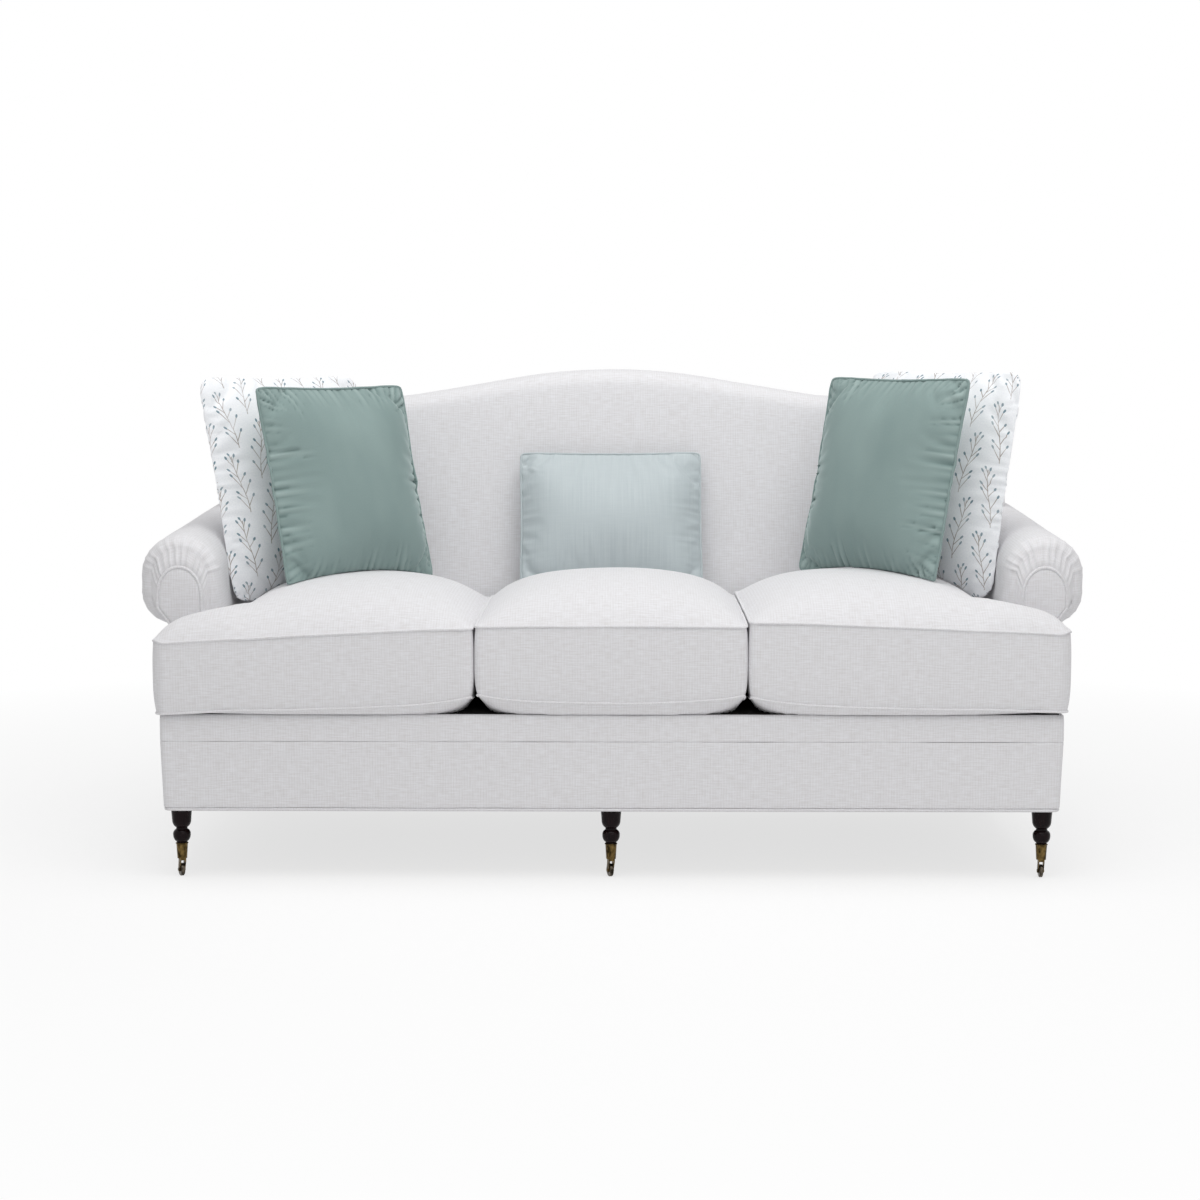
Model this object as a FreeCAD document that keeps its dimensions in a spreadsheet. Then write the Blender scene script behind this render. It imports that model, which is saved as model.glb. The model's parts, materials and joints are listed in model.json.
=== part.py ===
# Three-seat sofa: camel back, rolled arms, loose seat cushions and turned front legs on casters.
# Lengths are millimetres. X runs to the right seen from the front, Y to the back and Z up.
# The origin is on the floor, in the middle of the width and of the depth.

import FreeCAD
import Part
import Sketcher
import math
import os

Vector = FreeCAD.Vector

driving = {
    # Whole body
    "overall_depth": 900,
    "body_width": 1740,
    "leg_height": 137,
    "board_thickness": 30,
    "cover_thickness": 8,
    "soft_gap": 0.3,
    # Seat base
    "front_setback": 15,
    "rail_height": 132,
    "platform_height": 52,
    "deck_cloth_thickness": 6,
    "border_thickness": 12,
    "border_rounding": 8,
    "edge_roll_width": 28,
    "border_lift": 3,
    "base_welt_radius": 3.5,
    "dust_cover_thickness": 1.5,
    "dust_cover_margin": 0.5,
    "cross_rail_height": 60,
    "cross_rail_drop": 42,
    "corner_block_side": 70,
    "corner_block_height": 60,
    "centre_block_depth": 40,
    "centre_block_width": 60,
    # Springs
    "spring_wire": 4,
    "spring_loop": 44,
    "spring_width": 52,
    "spring_spacing": 175,
    "spring_clip_depth": 12,
    "spring_clip_width": 20,
    "spring_clip_height": 4,
    # Arms
    "arm_setback": 144,
    "arm_inner": 757,
    "arm_lean": 18,
    "roll_radius": 78,
    "roll_height": 575,
    "roll_drop": 10,
    "roll_under_height": 478,
    "roll_under_radius": 92,
    "arm_rise": 35,
    "arm_front_rounding": 34,
    "arm_wall": 20,
    "arm_hollow_top": 470,
    "arm_post_width": 50,
    "arm_board_gap": 5,
    "arm_top_rail_height": 22,
    "arm_tack_rail_lift": 6,
    "arm_tack_rail_height": 30,
    # Arm facings
    "facing_thickness": 4,
    "facing_centre": 860,
    "facing_arch_radius": 41,
    "facing_arch_height": 538,
    "facing_side_drop": 40,
    "facing_foot_inner": 784,
    "facing_foot_outer": 856,
    "facing_foot_drop": 30,
    "facing_welt_radius": 3.5,
    # Back
    "back_thickness": 175,
    "back_rake": 110,
    "inside_slope": 0.2126,
    "crest_height": 975,
    "crest_radius": 1250,
    "crest_reach": 206,
    "slope_reach": 430,
    "valley_radius": 350,
    "shoulder_rounding": 60,
    "crest_rounding": 34,
    "crest_wall": 14,
    "post_drop": 145,
    "stile_place": 262,
    "tack_rail_lift": 20,
    "tack_rail_height": 45,
    "tack_rail_thickness": 20,
    "hollow_margin": 6,
    "board_clearance": 1,
    "webbing_width": 60,
    "webbing_thickness": 2,
    "webbing_spacing": 170,
    # Seat cushions
    "cushion_gap": 0.6,
    "centre_cushion_width": 525,
    "cushion_reach": 882,
    "ear_clearance": 1,
    "arm_clearance": 1,
    "cushion_boxing_foot": 350,
    "cushion_boxing_top": 480,
    "cushion_belly": 4,
    "cushion_crown": 85,
    "cushion_under_inset": 60,
    "cushion_corner": 30,
    "core_inset": 55,
    "core_height": 110,
    "core_lift": 40,
    # Legs
    "front_leg_spread": 834,
    "front_leg_inset": 28,
    "leg_top_radius": 20.5,
    "leg_waist_radius": 18.2,
    "leg_waist_height": 108,
    "leg_neck_radius": 10,
    "leg_neck_height": 95.5,
    "leg_ball_radius": 17,
    "leg_ball_height": 82,
    "leg_tip_radius": 8.7,
    "leg_ball_lower_curve": 16,
    "leg_ball_upper_curve": 10.5,
    "leg_flare_curve": 15.5,
    "leg_collar_height": 2,
    "leg_collar_step": 1,
    "rear_leg_inset": 18,
    "rear_leg_top": 36,
    "rear_leg_foot": 28,
    "bolt_radius": 4,
    "bolt_length": 80,
    "bolt_depth": 30,
    "bolt_clearance": 0.15,
    "bolt_end_gap": 1,
    # Casters
    "cup_top": 67,
    "cup_foot": 36,
    "cup_top_radius": 11.1,
    "cup_foot_radius": 9.4,
    "cup_wall": 1.2,
    "cup_floor": 10,
    "cup_bead_height": 3,
    "stem_radius": 3,
    "stem_clearance": 0.06,
    "fork_bridge": 4,
    "fork_cheek": 1.8,
    "fork_side_gap": 0.5,
    "fork_width": 12,
    "fork_eye_radius": 4.4,
    "fork_shoulder": 2,
    "wheel_radius": 12.5,
    "wheel_width": 7.2,
    "wheel_chamfer": 1.2,
    "wheel_trail": 5,
    "axle_radius": 2,
    "axle_clearance": 0.06,
    "rivet_radius": 3.2,
    "rivet_height": 1,
    "rivet_clearance": 0.05,
    "caster_turn_left": 28,
    "caster_turn_centre": 20,
    "caster_turn_right": 0,
    # Scatter pillows: size and thickness, how far the middle is from the arm, in front of the foot of
    # the inside back and above the crown of the cushions, turn and lean
    "print_size": 462,
    "print_thickness": 124,
    "velvet_size": 418,
    "velvet_thickness": 130,
    "lumbar_width": 392,
    "lumbar_height": 310,
    "lumbar_thickness": 104,
    "pillow_draw": 14,
    "print_left_from_arm": 95,
    "print_left_from_back": 130,
    "print_left_above_crown": 173,
    "print_left_turn": 53,
    "print_left_lean": 12,
    "print_right_from_arm": 93,
    "print_right_from_back": 132,
    "print_right_above_crown": 183,
    "print_right_turn": 55,
    "print_right_lean": 10,
    "velvet_left_from_arm": 204,
    "velvet_left_from_back": 208,
    "velvet_left_above_crown": 175,
    "velvet_left_turn": 51,
    "velvet_left_lean": 12.4,
    "velvet_right_from_arm": 201,
    "velvet_right_from_back": 215,
    "velvet_right_above_crown": 193,
    "velvet_right_turn": 54,
    "velvet_right_lean": 12.3,
    "lumbar_shift": -3,
    "lumbar_from_back": -10,
    "lumbar_above_crown": 86,
    "lumbar_turn": 2,
    "lumbar_lean": 17,
}

doc = FreeCAD.newDocument("camel_back_sofa")
sheet = doc.addObject("Spreadsheet::Sheet", "sizes")
for row, (alias, number) in enumerate(driving.items(), start=1):
    sheet.set(f"A{row}", alias)
    sheet.set(f"B{row}", str(number))
    sheet.setAlias(f"B{row}", alias)
doc.recompute()


class Size:
    """A number that keeps the sheet formula it comes from, so that features can be bound to it."""

    def __init__(self, value, formula):
        self.value = float(value)
        self.formula = formula

    def __float__(self):
        return self.value

    def __add__(self, other):
        return Size(self.value + float(other), f"({self.formula} + {formula_of(other)})")

    def __sub__(self, other):
        return Size(self.value - float(other), f"({self.formula} - {formula_of(other)})")

    def __mul__(self, other):
        return Size(self.value * float(other), f"({self.formula} * {formula_of(other)})")

    def __truediv__(self, other):
        return Size(self.value / float(other), f"({self.formula} / {formula_of(other)})")

    def __neg__(self):
        return Size(-self.value, f"(0 - {self.formula})")


def formula_of(number):
    return number.formula if isinstance(number, Size) else str(number)


class Sizes:
    """The sheet's cells by name."""

    def __getattr__(self, alias):
        return Size(sheet.get(alias), f"sizes.{alias}")


dim = Sizes()
zero = Size(0, "0")
left = -1
right = 1
side_name = {left: "left", right: "right"}
nodes = []


def keep(solid, label):
    solid.Label = label
    nodes.append(solid)
    return solid


# Places that several pieces share

seat_front = -dim.overall_depth / 2
border_front = seat_front + dim.front_setback
rail_front = border_front + dim.border_thickness
rail_back = rail_front + dim.board_thickness
rail_top = dim.leg_height + dim.rail_height
deck_top = rail_top + dim.platform_height
body_half = dim.body_width / 2
frame_half = body_half - dim.cover_thickness
side_rail_inner = frame_half - dim.board_thickness
post_inner = side_rail_inner - dim.arm_post_width
border_foot = dim.leg_height + dim.border_lift
arm_front = seat_front + dim.arm_setback
back_foot = dim.overall_depth / 2 - dim.back_rake
inside_back_foot = back_foot - dim.back_thickness
outside_slope = dim.back_rake / (dim.crest_height - dim.leg_height)
frame_rear = back_foot - dim.cover_thickness
back_rail_front = frame_rear - dim.board_thickness
front_leg_place = border_front + dim.front_leg_inset
rear_leg_place = frame_rear - dim.rear_leg_inset
rear_leg_spread = side_rail_inner - dim.arm_post_width / 2
axle_half = dim.wheel_width / 2 + dim.fork_side_gap + dim.fork_cheek
post_top = dim.crest_height - dim.post_drop
bolt_reach = dim.bolt_length - dim.bolt_depth + dim.bolt_end_gap
post_plane = dim.cover_thickness + dim.board_thickness
board_half = dim.board_thickness / 2
rounding_angles = [math.radians(angle) for angle in (0, 22, 45, 68, 90)]


def back_line(inset, height):
    """Y of the plane that lies inset in front of the outside of the back, at a height."""
    return back_foot - inset + outside_slope * (height - dim.leg_height)


# Building blocks

def mirrored(side, span):
    low, high = span
    return (low, high) if side == right else (-high, -low)


def box(label, x_span, y_span, z_span):
    solid = doc.addObject("Part::Box", label)
    for side_length, (low, high) in zip(("Length", "Width", "Height"), (x_span, y_span, z_span)):
        solid.setExpression(side_length, (high - low).formula)
    for axis, (low, high) in zip("xyz", (x_span, y_span, z_span)):
        solid.setExpression(f"Placement.Base.{axis}", low.formula)
    return solid


def group(label, solids):
    compound = doc.addObject("Part::Compound", label)
    compound.Links = solids
    return keep(compound, label)


def arc_middle(start, end, radius):
    """Middle of the short arc from start to end, which turns left where the radius is positive."""
    chord_x = end[0] - start[0]
    chord_y = end[1] - start[1]
    chord = math.hypot(chord_x, chord_y)
    bow = abs(radius) - math.sqrt(radius ** 2 - (chord / 2) ** 2)
    turn = math.copysign(bow, radius) / chord
    return ((start[0] + end[0]) / 2 + chord_y * turn, (start[1] + end[1]) / 2 - chord_x * turn)


def arc_centre(start, end, radius):
    middle = arc_middle(start, end, radius)
    chord_x = end[0] - start[0]
    chord_y = end[1] - start[1]
    reach = radius / math.hypot(chord_x, chord_y)
    return (middle[0] - chord_y * reach, middle[1] + chord_x * reach)


def draw(body, name, role, offset, points):
    """Bound sketch of a closed outline on one of the body's planes, moved along its normal.

    Each point is (u, v, radius). The radius is that of the arc to the next point, left-turning
    where positive, and None makes a straight side."""
    sketch = body.newObject("Sketcher::SketchObject", name)
    plane = next(feature for feature in body.Origin.OriginFeatures if feature.Role == role)
    sketch.AttachmentSupport = [(plane, "")]
    sketch.MapMode = "FlatFace"
    sketch.setExpression("AttachmentOffset.Base.z", offset.formula)
    ends = []
    for number, (u, v, radius) in enumerate(points):
        next_u, next_v, _ = points[(number + 1) % len(points)]
        start = (float(u), float(v))
        end = (float(next_u), float(next_v))
        if radius is None:
            sketch.addGeometry(Part.LineSegment(Vector(*start, 0), Vector(*end, 0)))
            ends.append((1, 2))
            continue
        centre = arc_centre(start, end, float(radius))
        circle = Part.Circle(Vector(*centre, 0), Vector(0, 0, 1), abs(float(radius)))
        first, last = (start, end) if float(radius) > 0 else (end, start)
        angles = [math.atan2(point[1] - centre[1], point[0] - centre[0]) for point in (first, last)]
        sketch.addGeometry(Part.ArcOfCircle(circle, *angles))
        ends.append((1, 2) if float(radius) > 0 else (2, 1))
    count = len(points)
    for number in range(count):
        following = (number + 1) % count
        sketch.addConstraint(
            Sketcher.Constraint("Coincident", number, ends[number][1], following, ends[following][0]))
    for number, (u, v, radius) in enumerate(points):
        start_end = ends[number][0]
        bind(sketch, Sketcher.Constraint("DistanceX", -1, 1, number, start_end, float(u)), u)
        bind(sketch, Sketcher.Constraint("DistanceY", -1, 1, number, start_end, float(v)), v)
        if radius is not None:
            length = radius if float(radius) > 0 else -radius
            bind(sketch, Sketcher.Constraint("Radius", number, float(length)), length)
    return sketch


def bind(sketch, constraint, size):
    index = sketch.addConstraint(constraint)
    if isinstance(size, Size):
        sketch.setExpression(f"Constraints[{index}]", size.formula)


def draw_circles(body, name, offset, centres, radius):
    sketch = body.newObject("Sketcher::SketchObject", name)
    plane = next(feature for feature in body.Origin.OriginFeatures if feature.Role == "XY_Plane")
    sketch.AttachmentSupport = [(plane, "")]
    sketch.MapMode = "FlatFace"
    sketch.setExpression("AttachmentOffset.Base.z", offset.formula)
    for number, (x, y) in enumerate(centres):
        sketch.addGeometry(Part.Circle(Vector(float(x), float(y), 0), Vector(0, 0, 1), float(radius)))
        bind(sketch, Sketcher.Constraint("DistanceX", -1, 1, number, 3, float(x)), x)
        bind(sketch, Sketcher.Constraint("DistanceY", -1, 1, number, 3, float(y)), y)
        bind(sketch, Sketcher.Constraint("Radius", number, float(radius)), radius)
    return sketch


def prism(label, role, start, length, points):
    body = doc.addObject("PartDesign::Body", label)
    sketch = draw(body, f"{label}_outline", role, start, points)
    pad = body.newObject("PartDesign::Pad", f"{label}_pad")
    pad.Profile = sketch
    pad.setExpression("Length", length.formula)
    body.Tip = pad
    return body


def across(label, span, points):
    """Prism along X over a span, from an outline of (y, z) points."""
    low, high = span
    return prism(label, "YZ_Plane", low, high - low, points)


def upright(label, span, points):
    """Prism along Z over a span, from an outline of (x, y) points."""
    low, high = span
    return prism(label, "XY_Plane", low, high - low, points)


def polygon(*corners):
    return [(u, v, None) for u, v in corners]


def drill(body, label, centres, radius, foot, depth):
    """Blind holes that run up from the foot of a body."""
    doc.recompute()
    sketch = draw_circles(body, f"{label}_circles", foot, centres, radius)
    pocket = body.newObject("PartDesign::Pocket", f"{label}_holes")
    pocket.Profile = sketch
    pocket.setExpression("Length", depth.formula)
    pocket.Reversed = True
    body.Tip = pocket
    return body


def turned(label, points, x, y):
    """Solid turned about a vertical axis at x, y, from an outline of (radius, z) points."""
    body = doc.addObject("PartDesign::Body", label)
    sketch = draw(body, f"{label}_profile", "XZ_Plane", zero, points)
    revolution = body.newObject("PartDesign::Revolution", f"{label}_turning")
    revolution.Profile = sketch
    revolution.ReferenceAxis = (sketch, ["V_Axis"])
    revolution.Angle = 360
    body.Tip = revolution
    body.setExpression("Placement.Base.x", x.formula)
    body.setExpression("Placement.Base.y", y.formula)
    return body


def feature(label, shape):
    solid = doc.addObject("Part::Feature", label)
    solid.Shape = shape
    return keep(solid, label)


def pair(label, shape):
    """The piece on the right and its mirror image on the left."""
    feature(f"{label}_right", shape)
    feature(f"{label}_left", shape.mirror(Vector(0, 0, 0), Vector(1, 0, 0)))


def wire(points, place):
    """Closed wire through (u, v, radius) points, laid in space by place(u, v)."""
    edges = []
    for number, (u, v, radius) in enumerate(points):
        next_u, next_v, _ = points[(number + 1) % len(points)]
        start = (float(u), float(v))
        end = (float(next_u), float(next_v))
        if radius is None:
            edges.append(Part.LineSegment(place(*start), place(*end)).toShape())
        else:
            middle = arc_middle(start, end, float(radius))
            edges.append(Part.Arc(place(*start), place(*middle), place(*end)).toShape())
    return Part.Wire(edges)


def rounded(corners):
    """Outline with each (u, v, radius) corner cut by an arc of that radius."""
    points = []
    for number, (u, v, radius) in enumerate(corners):
        before = corners[number - 1]
        after = corners[(number + 1) % len(corners)]
        arrive = Vector(u - before[0], v - before[1], 0).normalize()
        leave = Vector(after[0] - u, after[1] - v, 0).normalize()
        turn = arrive.cross(leave).z
        reach = radius * math.tan(math.acos(max(-1, min(1, arrive.dot(leave)))) / 2)
        points.append((u - arrive.x * reach, v - arrive.y * reach, math.copysign(radius, turn)))
        points.append((u + leave.x * reach, v + leave.y * reach, None))
    return points


# Seat frame

def make_front_rail():
    body = upright("front_rail", (dim.leg_height, rail_top), polygon(
        (-frame_half, rail_front), (frame_half, rail_front),
        (frame_half, rail_back), (-frame_half, rail_back)))
    centres = [(x, front_leg_place) for x in (-dim.front_leg_spread, zero, dim.front_leg_spread)]
    bore = dim.bolt_radius + dim.bolt_clearance
    keep(drill(body, "front_rail", centres, bore, dim.leg_height, bolt_reach), "front_rail")


def make_back_rail():
    body = upright("back_rail", (dim.leg_height, rail_top), polygon(
        (-post_inner, back_rail_front), (post_inner, back_rail_front),
        (post_inner, frame_rear), (-post_inner, frame_rear)))
    bore = dim.bolt_radius + dim.bolt_clearance
    keep(drill(body, "back_rail", [(zero, rear_leg_place)], bore, dim.leg_height, bolt_reach), "back_rail")


def make_side_rails():
    rails = [box(f"side_rail_{side_name[side]}", mirrored(side, (side_rail_inner, frame_half)),
                 (rail_back, frame_rear), (dim.leg_height, rail_top)) for side in (left, right)]
    group("side_rails", rails)


def make_cross_rails():
    middle = dim.centre_cushion_width / 2
    top = rail_top - dim.cross_rail_drop
    rails = [box(f"cross_rail_{side_name[side]}", mirrored(side, (middle - board_half, middle + board_half)),
                 (rail_back, back_rail_front), (top - dim.cross_rail_height, top)) for side in (left, right)]
    group("seat_cross_rails", rails)


def make_corner_blocks():
    span = (dim.leg_height, dim.leg_height + dim.corner_block_height)
    reach = dim.corner_block_side
    half = dim.centre_block_width / 2
    blocks = []
    for side in (left, right):
        corner = side_rail_inner * side
        inward = corner - reach * side
        for place, y, step in (("front", rail_back, reach), ("back", back_rail_front, -reach)):
            blocks.append(upright(f"corner_block_{place}_{side_name[side]}", span, polygon(
                (corner, y), (inward, y), (corner, y + step))))
    depth = dim.centre_block_depth
    blocks.append(box("centre_block_front", (-half, half), (rail_back, rail_back + depth), span))
    blocks.append(box("centre_block_back", (-half, half), (back_rail_front - depth, back_rail_front), span))
    group("corner_blocks", blocks)


# Springs and deck

spring_lead_share = 0.22


def spring_places():
    count = 2 * int(float(dim.arm_inner - dim.spring_width) / float(dim.spring_spacing)) + 1
    return [dim.spring_spacing * (number - count // 2) for number in range(count)]


def make_springs():
    """Zigzag strands from the front rail to the back rail, level with the tops of the rails."""
    wire_width = dim.spring_wire.value
    half = dim.spring_width.value / 2
    start = rail_back.value + wire_width
    end = back_rail_front.value - wire_width
    bends = int((end - start) / dim.spring_loop.value)
    pitch = (end - start) / bends
    lead = pitch * spring_lead_share
    centre_line = []
    for bend in range(bends):
        side = half if bend % 2 else -half
        near = start + bend * pitch
        centre_line.append((side, near + lead))
        centre_line.append((side, near + pitch - lead))
    centre_line = [(0, start)] + centre_line + [(0, end)]
    strands = []
    for x in spring_places():
        foot = rail_top.value - wire_width
        outline = [Vector(u + x.value, v, foot) for u, v in ribbon(centre_line, wire_width / 2)]
        strands.append(Part.Face(Part.makePolygon(outline)).extrude(Vector(0, 0, wire_width)))
    feature("seat_springs", Part.makeCompound(strands))


def ribbon(line, half):
    """Closed outline of a strip of even width along a line of points."""
    left_side = []
    right_side = []
    for number, (u, v) in enumerate(line):
        before = line[max(number - 1, 0)]
        after = line[min(number + 1, len(line) - 1)]
        arrive = Vector(u - before[0], v - before[1], 0)
        leave = Vector(after[0] - u, after[1] - v, 0)
        arrive = (arrive if arrive.Length else leave).normalize()
        leave = (leave if leave.Length else arrive).normalize()
        normal = Vector(-arrive.y - leave.y, arrive.x + leave.x, 0).normalize()
        reach = half / normal.dot(Vector(-arrive.y, arrive.x, 0))
        left_side.append((u + normal.x * reach, v + normal.y * reach))
        right_side.append((u - normal.x * reach, v - normal.y * reach))
    outline = left_side + right_side[::-1]
    return outline + outline[:1]


def make_spring_clips():
    half = dim.spring_clip_width / 2
    depth = dim.spring_clip_depth
    top = rail_top - dim.spring_wire
    height = (top - dim.spring_clip_height, top)
    clips = []
    for number, x in enumerate(spring_places()):
        width = (x - half, x + half)
        clips.append(box(f"front_clip_{number}", width, (rail_back, rail_back + depth), height))
        clips.append(box(f"back_clip_{number}", width, (back_rail_front - depth, back_rail_front), height))
    group("spring_clips", clips)


def deck_outline(front):
    """T outline of the deck: the full width in front of the arms, and between them behind."""
    back = frame_rear - board_half
    return polygon(
        (-frame_half, front), (frame_half, front), (frame_half, arm_front), (dim.arm_inner, arm_front),
        (dim.arm_inner, back), (-dim.arm_inner, back), (-dim.arm_inner, arm_front), (-frame_half, arm_front))


def make_deck():
    cloth_foot = deck_top - dim.deck_cloth_thickness
    roll_back = rail_front + dim.edge_roll_width
    keep(upright("deck_pad", (rail_top, cloth_foot), deck_outline(roll_back)), "deck_pad")
    keep(upright("deck_cloth", (cloth_foot, deck_top), deck_outline(rail_front)), "deck_cloth")
    turn = dim.edge_roll_width / 2
    shoulder = cloth_foot - turn
    roll = across("edge_roll", (-frame_half, frame_half), [
        (rail_front, rail_top, None), (roll_back, rail_top, None),
        (roll_back, shoulder, turn), (rail_front + turn, cloth_foot, turn), (rail_front, shoulder, None)])
    keep(roll, "edge_roll")


# Front border, edge band, welt and dust cover

def border_outline():
    turn = dim.border_rounding
    return [
        (-body_half, rail_front, None), (-body_half, border_front + turn, turn),
        (-body_half + turn, border_front, None), (body_half - turn, border_front, turn),
        (body_half, border_front + turn, None), (body_half, rail_front, None)]


def make_front_border():
    keep(upright("front_border", (border_foot, rail_top), border_outline()), "front_border")


def make_front_edge_band():
    keep(upright("front_edge_band", (rail_top, deck_top), border_outline()), "front_edge_band")


def make_base_welt():
    radius = dim.base_welt_radius
    side = (body_half - radius).value
    front = (border_front + radius).value
    back = (back_foot - radius).value
    height = (border_foot - radius).value
    corners = [Vector(x, y, height) for x, y in ((0, front), (side, front), (side, back), (-side, back),
                                                 (-side, front), (0, front))]
    section = Part.Wire(Part.Circle(corners[0], Vector(1, 0, 0), radius.value).toShape())
    feature("base_welt", Part.makePolygon(corners).makePipeShell([section], True, False, 1))


def make_dust_cover():
    margin = dim.dust_cover_margin
    edge = dim.base_welt_radius * 2 + margin
    side = body_half - edge
    body = upright("dust_cover", (dim.leg_height - dim.dust_cover_thickness, dim.leg_height), polygon(
        (-side, border_front + edge), (side, border_front + edge),
        (side, back_foot - edge), (-side, back_foot - edge)))
    doc.recompute()
    foot = dim.leg_height - dim.dust_cover_thickness
    fronts = [(x, front_leg_place) for x in (-dim.front_leg_spread, zero, dim.front_leg_spread)]
    drill(body, "front_leg", fronts, dim.leg_top_radius + margin, foot, dim.dust_cover_thickness * 2)
    half = dim.rear_leg_top / 2 + margin
    for name, x in (("left", -rear_leg_spread), ("centre", zero), ("right", rear_leg_spread)):
        sketch = draw(body, f"rear_leg_{name}_square", "XY_Plane", foot, polygon(
            (x - half, rear_leg_place - half), (x + half, rear_leg_place - half),
            (x + half, rear_leg_place + half), (x - half, rear_leg_place + half)))
        pocket = body.newObject("PartDesign::Pocket", f"rear_leg_{name}_hole")
        pocket.Profile = sketch
        pocket.setExpression("Length", (dim.dust_cover_thickness * 2).formula)
        pocket.Reversed = True
        body.Tip = pocket
    keep(body, "dust_cover")


# Arms

# How much of the front rounding the underside of the roll follows
underside_share = 0.2


def arm_lift(y):
    """How far the roll has risen at a depth, from the front of the arm to the back of the body."""
    return dim.arm_rise.value * (y - arm_front.value) / (dim.overall_depth.value / 2 - arm_front.value)


def arm_outline(y, inset, hollow):
    """Section of the right arm at a depth: inner face, roll, and its underside at the outer panel."""
    lift = arm_lift(y)
    inner_foot = dim.arm_inner.value + inset
    inner_top = dim.arm_inner.value + dim.arm_lean.value + inset
    radius = dim.roll_radius.value - inset
    centre = inner_top + radius
    height = dim.roll_height.value + lift
    outer = frame_half.value
    under = dim.roll_under_height.value + lift + inset
    foot = rail_top.value
    wall = dim.arm_inner.value + dim.arm_wall.value
    if hollow:
        start = [(wall, foot, None), (wall, dim.arm_hollow_top.value, None),
                 (outer, dim.arm_hollow_top.value, None)]
    else:
        start = [(outer, foot, None)]
    points = start + [
        (outer, under, None), (body_half.value - inset * underside_share, under, dim.roll_under_radius.value),
        (centre + radius, height - dim.roll_drop.value, None), (centre + radius, height, radius),
        (centre, height + radius, radius), (inner_top, height, None), (inner_foot, foot, None)]
    return wire(points, lambda u, v: Vector(u, y, v))


def make_arm_covers():
    """Padded arm with a rounded front edge, hollow outside its inner wall, up to the leaning back."""
    front = arm_front.value
    rounding = dim.arm_front_rounding.value
    sections = []
    for turn in rounding_angles:
        sections.append(arm_outline(front + rounding * (1 - math.cos(turn)),
                                    rounding * (1 - math.sin(turn)), False))
    nose = Part.makeLoft(sections, True, True)
    rear = dim.overall_depth.value
    shell = Part.makeLoft([arm_outline(front + rounding, 0, True), arm_outline(rear, 0, True)], True, True)
    cover = nose.fuse(shell).removeSplitter()
    cover = cover.cut(behind_plane(inside_back_foot.value, deck_top.value, dim.inside_slope.value,
                                   frame_half.value))
    cover = cover.cut(behind_plane(back_foot.value, dim.leg_height.value, outside_slope.value,
                                   dim.overall_depth.value * 2))
    pair("arm_cover", Part.Solid(cover.Solids[0]))


def behind_plane(y, z, slope, half):
    """Everything within half of the middle and behind a leaning plane through y at z."""
    reach = dim.overall_depth.value * 2
    corners = [(y - slope * z, 0), (reach, 0), (reach, reach), (y + slope * (reach - z), reach)]
    face = Part.Face(Part.makePolygon([Vector(-half, v, w) for v, w in corners + corners[:1]]))
    return face.extrude(Vector(2 * half, 0, 0))


def make_outside_arm(side):
    """Outer panel, from the welt up to the underside of the roll, low in front of the arm."""
    rise = dim.arm_rise / (dim.overall_depth / 2 - arm_front)
    under = dim.roll_under_height
    back = (back_line(zero, under) - arm_front * rise * outside_slope) / (Size(1, "1") - rise * outside_slope)
    top = under + rise * (back - arm_front)
    body = across(f"outside_arm_{side_name[side]}", mirrored(side, (frame_half, body_half)), polygon(
        (rail_front, border_foot), (back_line(zero, border_foot), border_foot), (back, top),
        (arm_front, under), (arm_front, deck_top), (rail_front, deck_top)))
    keep(body, f"outside_arm_{side_name[side]}")


def facing_outline(inset):
    """Arched front panel of an arm, wider at the foot towards the seat, held inset inside its welt."""
    centre = dim.facing_centre.value
    radius = dim.facing_arch_radius.value - inset
    height = dim.facing_arch_height.value
    foot = (deck_top + dim.soft_gap * 2).value
    side_height = height - dim.facing_side_drop.value + inset
    foot_height = side_height - dim.facing_foot_drop.value
    return [
        (dim.facing_foot_inner.value + inset, foot, None),
        (dim.facing_foot_outer.value - inset, foot, None),
        (dim.facing_foot_outer.value - inset, foot_height, None),
        (centre + radius, side_height, None),
        (centre + radius, height, radius), (centre, height + radius, radius),
        (centre - radius, height, None)]


def make_arm_facings():
    """Front panels, each with a half-round welt round its arch, on the flat of the arm's front."""
    front = arm_front.value
    welt = dim.facing_welt_radius.value
    panel = Part.Face(wire(facing_outline(welt + dim.soft_gap.value * 3), lambda u, v: Vector(u, front, v)))
    pair("arm_facing", panel.extrude(Vector(0, -dim.facing_thickness.value, 0)))
    path = wire(facing_outline(0), lambda u, v: Vector(u, front, v))
    arch = Part.Wire(path.OrderedEdges[1:])
    foot = arch.OrderedVertexes[0].Point
    aside = Vector(welt, 0, 0)
    bead = Part.Arc(foot + aside, foot - Vector(0, welt, 0), foot - aside).toShape()
    back = Part.LineSegment(foot - aside, foot + aside).toShape()
    pair("facing_welt", arch.makePipeShell([Part.Wire([bead, back])], True, False, 1))


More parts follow.
